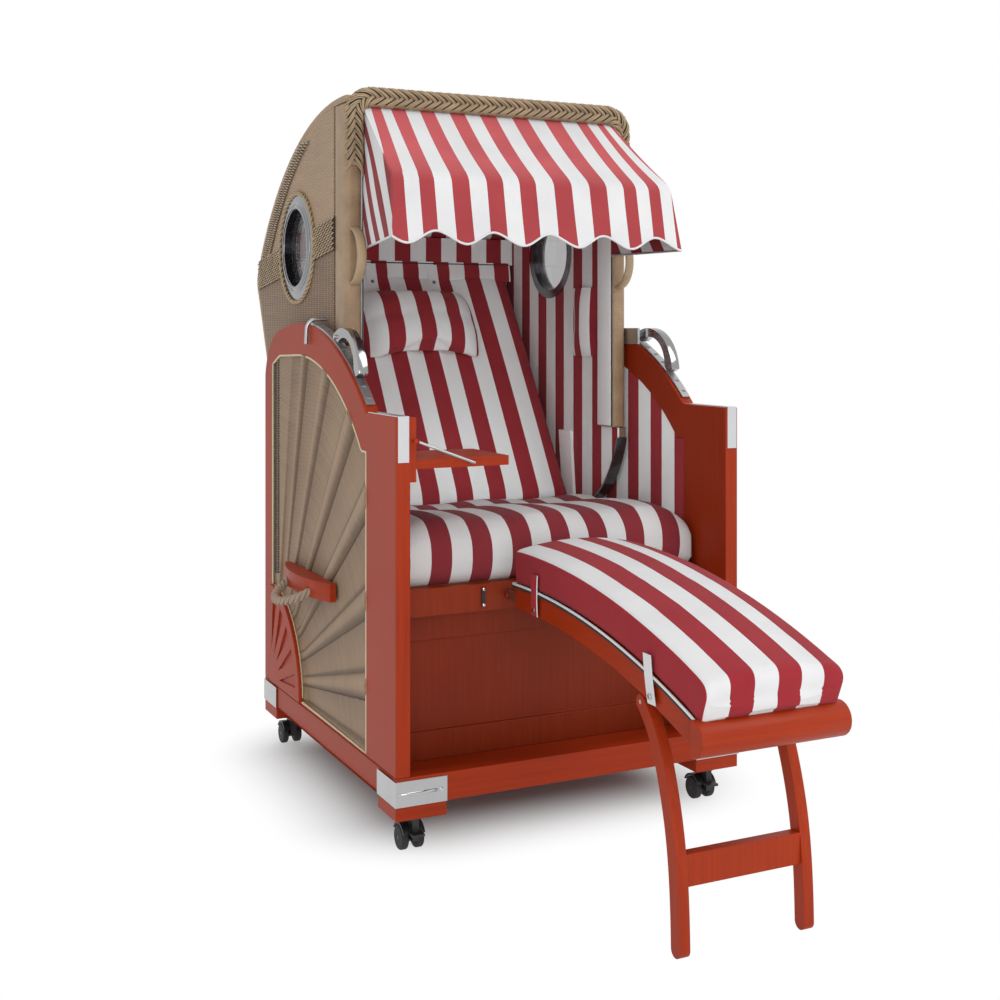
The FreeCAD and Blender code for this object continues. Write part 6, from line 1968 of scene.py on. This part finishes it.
class SmallHardware:
    """Screws, the corner brackets' ridges and the seat's snap strap."""

    def build(self, finishes: Finishes) -> None:
        """Makes the leg screws, the seat strap and the ridges."""
        self.leg_screws(finishes)
        self.seat_strap(finishes)
        self.bracket_ridges(finishes)

    @staticmethod
    def leg_screws(finishes: Finishes) -> None:
        """A round head on each outer face of the footrest's legs."""
        heads = []
        for side in Side:
            heads.append(Bench.rod("leg_screw", spot(side.value * 128.5, -590.0, 150.0), Vector((side.value, 0, 0)),
                                   radius=0.006, length=0.004, ease=0.0014, sides=16))
        fit(Bench.joined("leg_screws", heads), finishes["steel"], "footrest_legs", "stainless_steel")

    @staticmethod
    def bracket_ridges(finishes: Finishes) -> None:
        """A ridge along each face of the corner brackets, with a screw at its end."""
        skein = Skein()
        heads = []
        half, deep, height = 417.0, 925.0, 136.0
        for side in Side:
            for front, way in ((-2.0, 1), (deep + 2.0, -1)):
                face = Vector((0, -way, 0))
                line = [spot(side.value * (half - inset), front, height) for inset in (2, 30, 60, 92)]
                skein.lay(line, radius=0.0032, sides=8, flat=0.6, up=face)
                heads.append(Bench.rod("bracket_screw", spot(side.value * (half - 101), front, height), face,
                                       radius=0.0042, length=0.003, ease=0.001, sides=14))
        fit(Bench.woven("bracket_ridges", skein), finishes["chrome"], "base", "stainless_steel")
        fit(Bench.joined("bracket_screws", heads), finishes["chrome"], "base", "stainless_steel")

    @staticmethod
    def seat_strap(finishes: Finishes) -> None:
        """A short dark strap with bright ends on the seat's front rail."""
        way = Vector((0, 0, 1))
        strap = Bench.slab("seat_strap", spot(-177.0, 100.0, 482.0), spot(-169.0, 103.5, 512.0), ease=0.0015)
        fit(strap, finishes["webbing"], "base", "dark_trim")
        ends = [Bench.rod("strap_end", spot(-173.0, 101.5, height), way,
                          radius=0.0050, length=0.007, ease=0.0015, sides=14)
                for height in (480.0, 514.0)]
        fit(Bench.joined("seat_strap_ends", ends), finishes["chrome"], "base", "chrome")


class Fittings:
    """Finishes of the solids that stay as they are."""

    LOOKS = {
        "paint_upright": ("side_panel_left", "side_panel_right", "footrest_legs", "tray_mount", "rear_panel"),
        # The front panel and the seat rail get the darker paint as painted shade.
        "paint_shaded": ("front_panel", "seat_rail"),
        "paint_lying": ("base_rails", "foot_blocks", "rope_yokes", "sun_corners", "footrest_rails",
                        "footrest_nose"),
        "paint_across": ("tray_top", "floor_board"),
        "plain_boards": ("seat_bearers", "seat_board", "pivot_posts", "footrest_board"),
        "wicker_side": ("hood_side_left", "hood_side_right"),
        "wicker_roof": ("hood_roof",),
        "stripes_pelmet": ("back_boards",),
        "steel": ("corner_brackets", "notch_rails", "pivot_bolts", "caster_plates", "tray_stay",
                  "footrest_fittings", "awning_bow", "hood_pins"),
        "lining_white": ("hinge_arms",),
        "chrome_shaded_bore": ("porthole_rings",),
        "lever_chrome": ("latch_lever_left", "latch_lever_right"),
        "bright_steel": ("arm_strips",),
        "edging": ("hood_trim",),
        "glazing": ("porthole_panes",),
    }
    EASED = {"side_panel_left": 2.5, "side_panel_right": 2.5, "base_rails": 2.0, "foot_blocks": 2.5, "rope_yokes": 3.0,
             "front_panel": 1.5, "seat_rail": 2.0, "sun_corners": 1.5, "tray_top": 2.5, "footrest_legs": 3.0,
             "footrest_rails": 2.5, "latch_lever_left": 3.0, "latch_lever_right": 3.0, "tray_mount": 2.0,
             "footrest_nose": 3.0, "hood_roof": 3.0, "back_boards": 2.0, "corner_brackets": 0.6}

    def build(self, finishes: Finishes) -> None:
        """Dresses the solids and eases their edges."""
        looks = {node: finish for finish, nodes in self.LOOKS.items() for node in nodes}
        for name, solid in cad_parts.items():
            if name.startswith("caster_fork"):
                looks[name] = "housing"
            if name.startswith("caster_wheel"):
                looks[name] = "tyre"
            finish = finishes[looks[name]] if name in looks else finishes["stripes_wide"]
            dress(solid, finish)
            if name in self.EASED:
                self.ease(solid, self.EASED[name] * MM)
        LOG.info("%d solids dressed", len(looks))

    @staticmethod
    def ease(solid: Piece, width: float) -> None:
        """Rounds a solid's sharp edges a little."""
        weld = solid.modifiers.new("weld", "WELD")
        weld.merge_threshold = WELD
        planar = solid.modifiers.new("planar", "DECIMATE")
        planar.decimate_type = "DISSOLVE"
        planar.angle_limit = math.radians(0.6)
        bevel = solid.modifiers.new("ease", "BEVEL")
        bevel.width = width
        bevel.segments = 2
        bevel.limit_method = "ANGLE"
        bevel.angle_limit = math.radians(35)


def main() -> None:
    """Builds the chair's looks piece by piece."""
    logging.basicConfig(level=logging.INFO, format="%(name)s: %(message)s")
    finishes = Finishes()
    Studio().build()
    RopeHandles().build(finishes)
    Fittings().build(finishes)
    HoodTrim().build(finishes)
    SidePanels().build(finishes)
    Awning().build(finishes)
    Upholstery().build(finishes)
    SmallHardware().build(finishes)


if __name__ == "__main__":
    main()
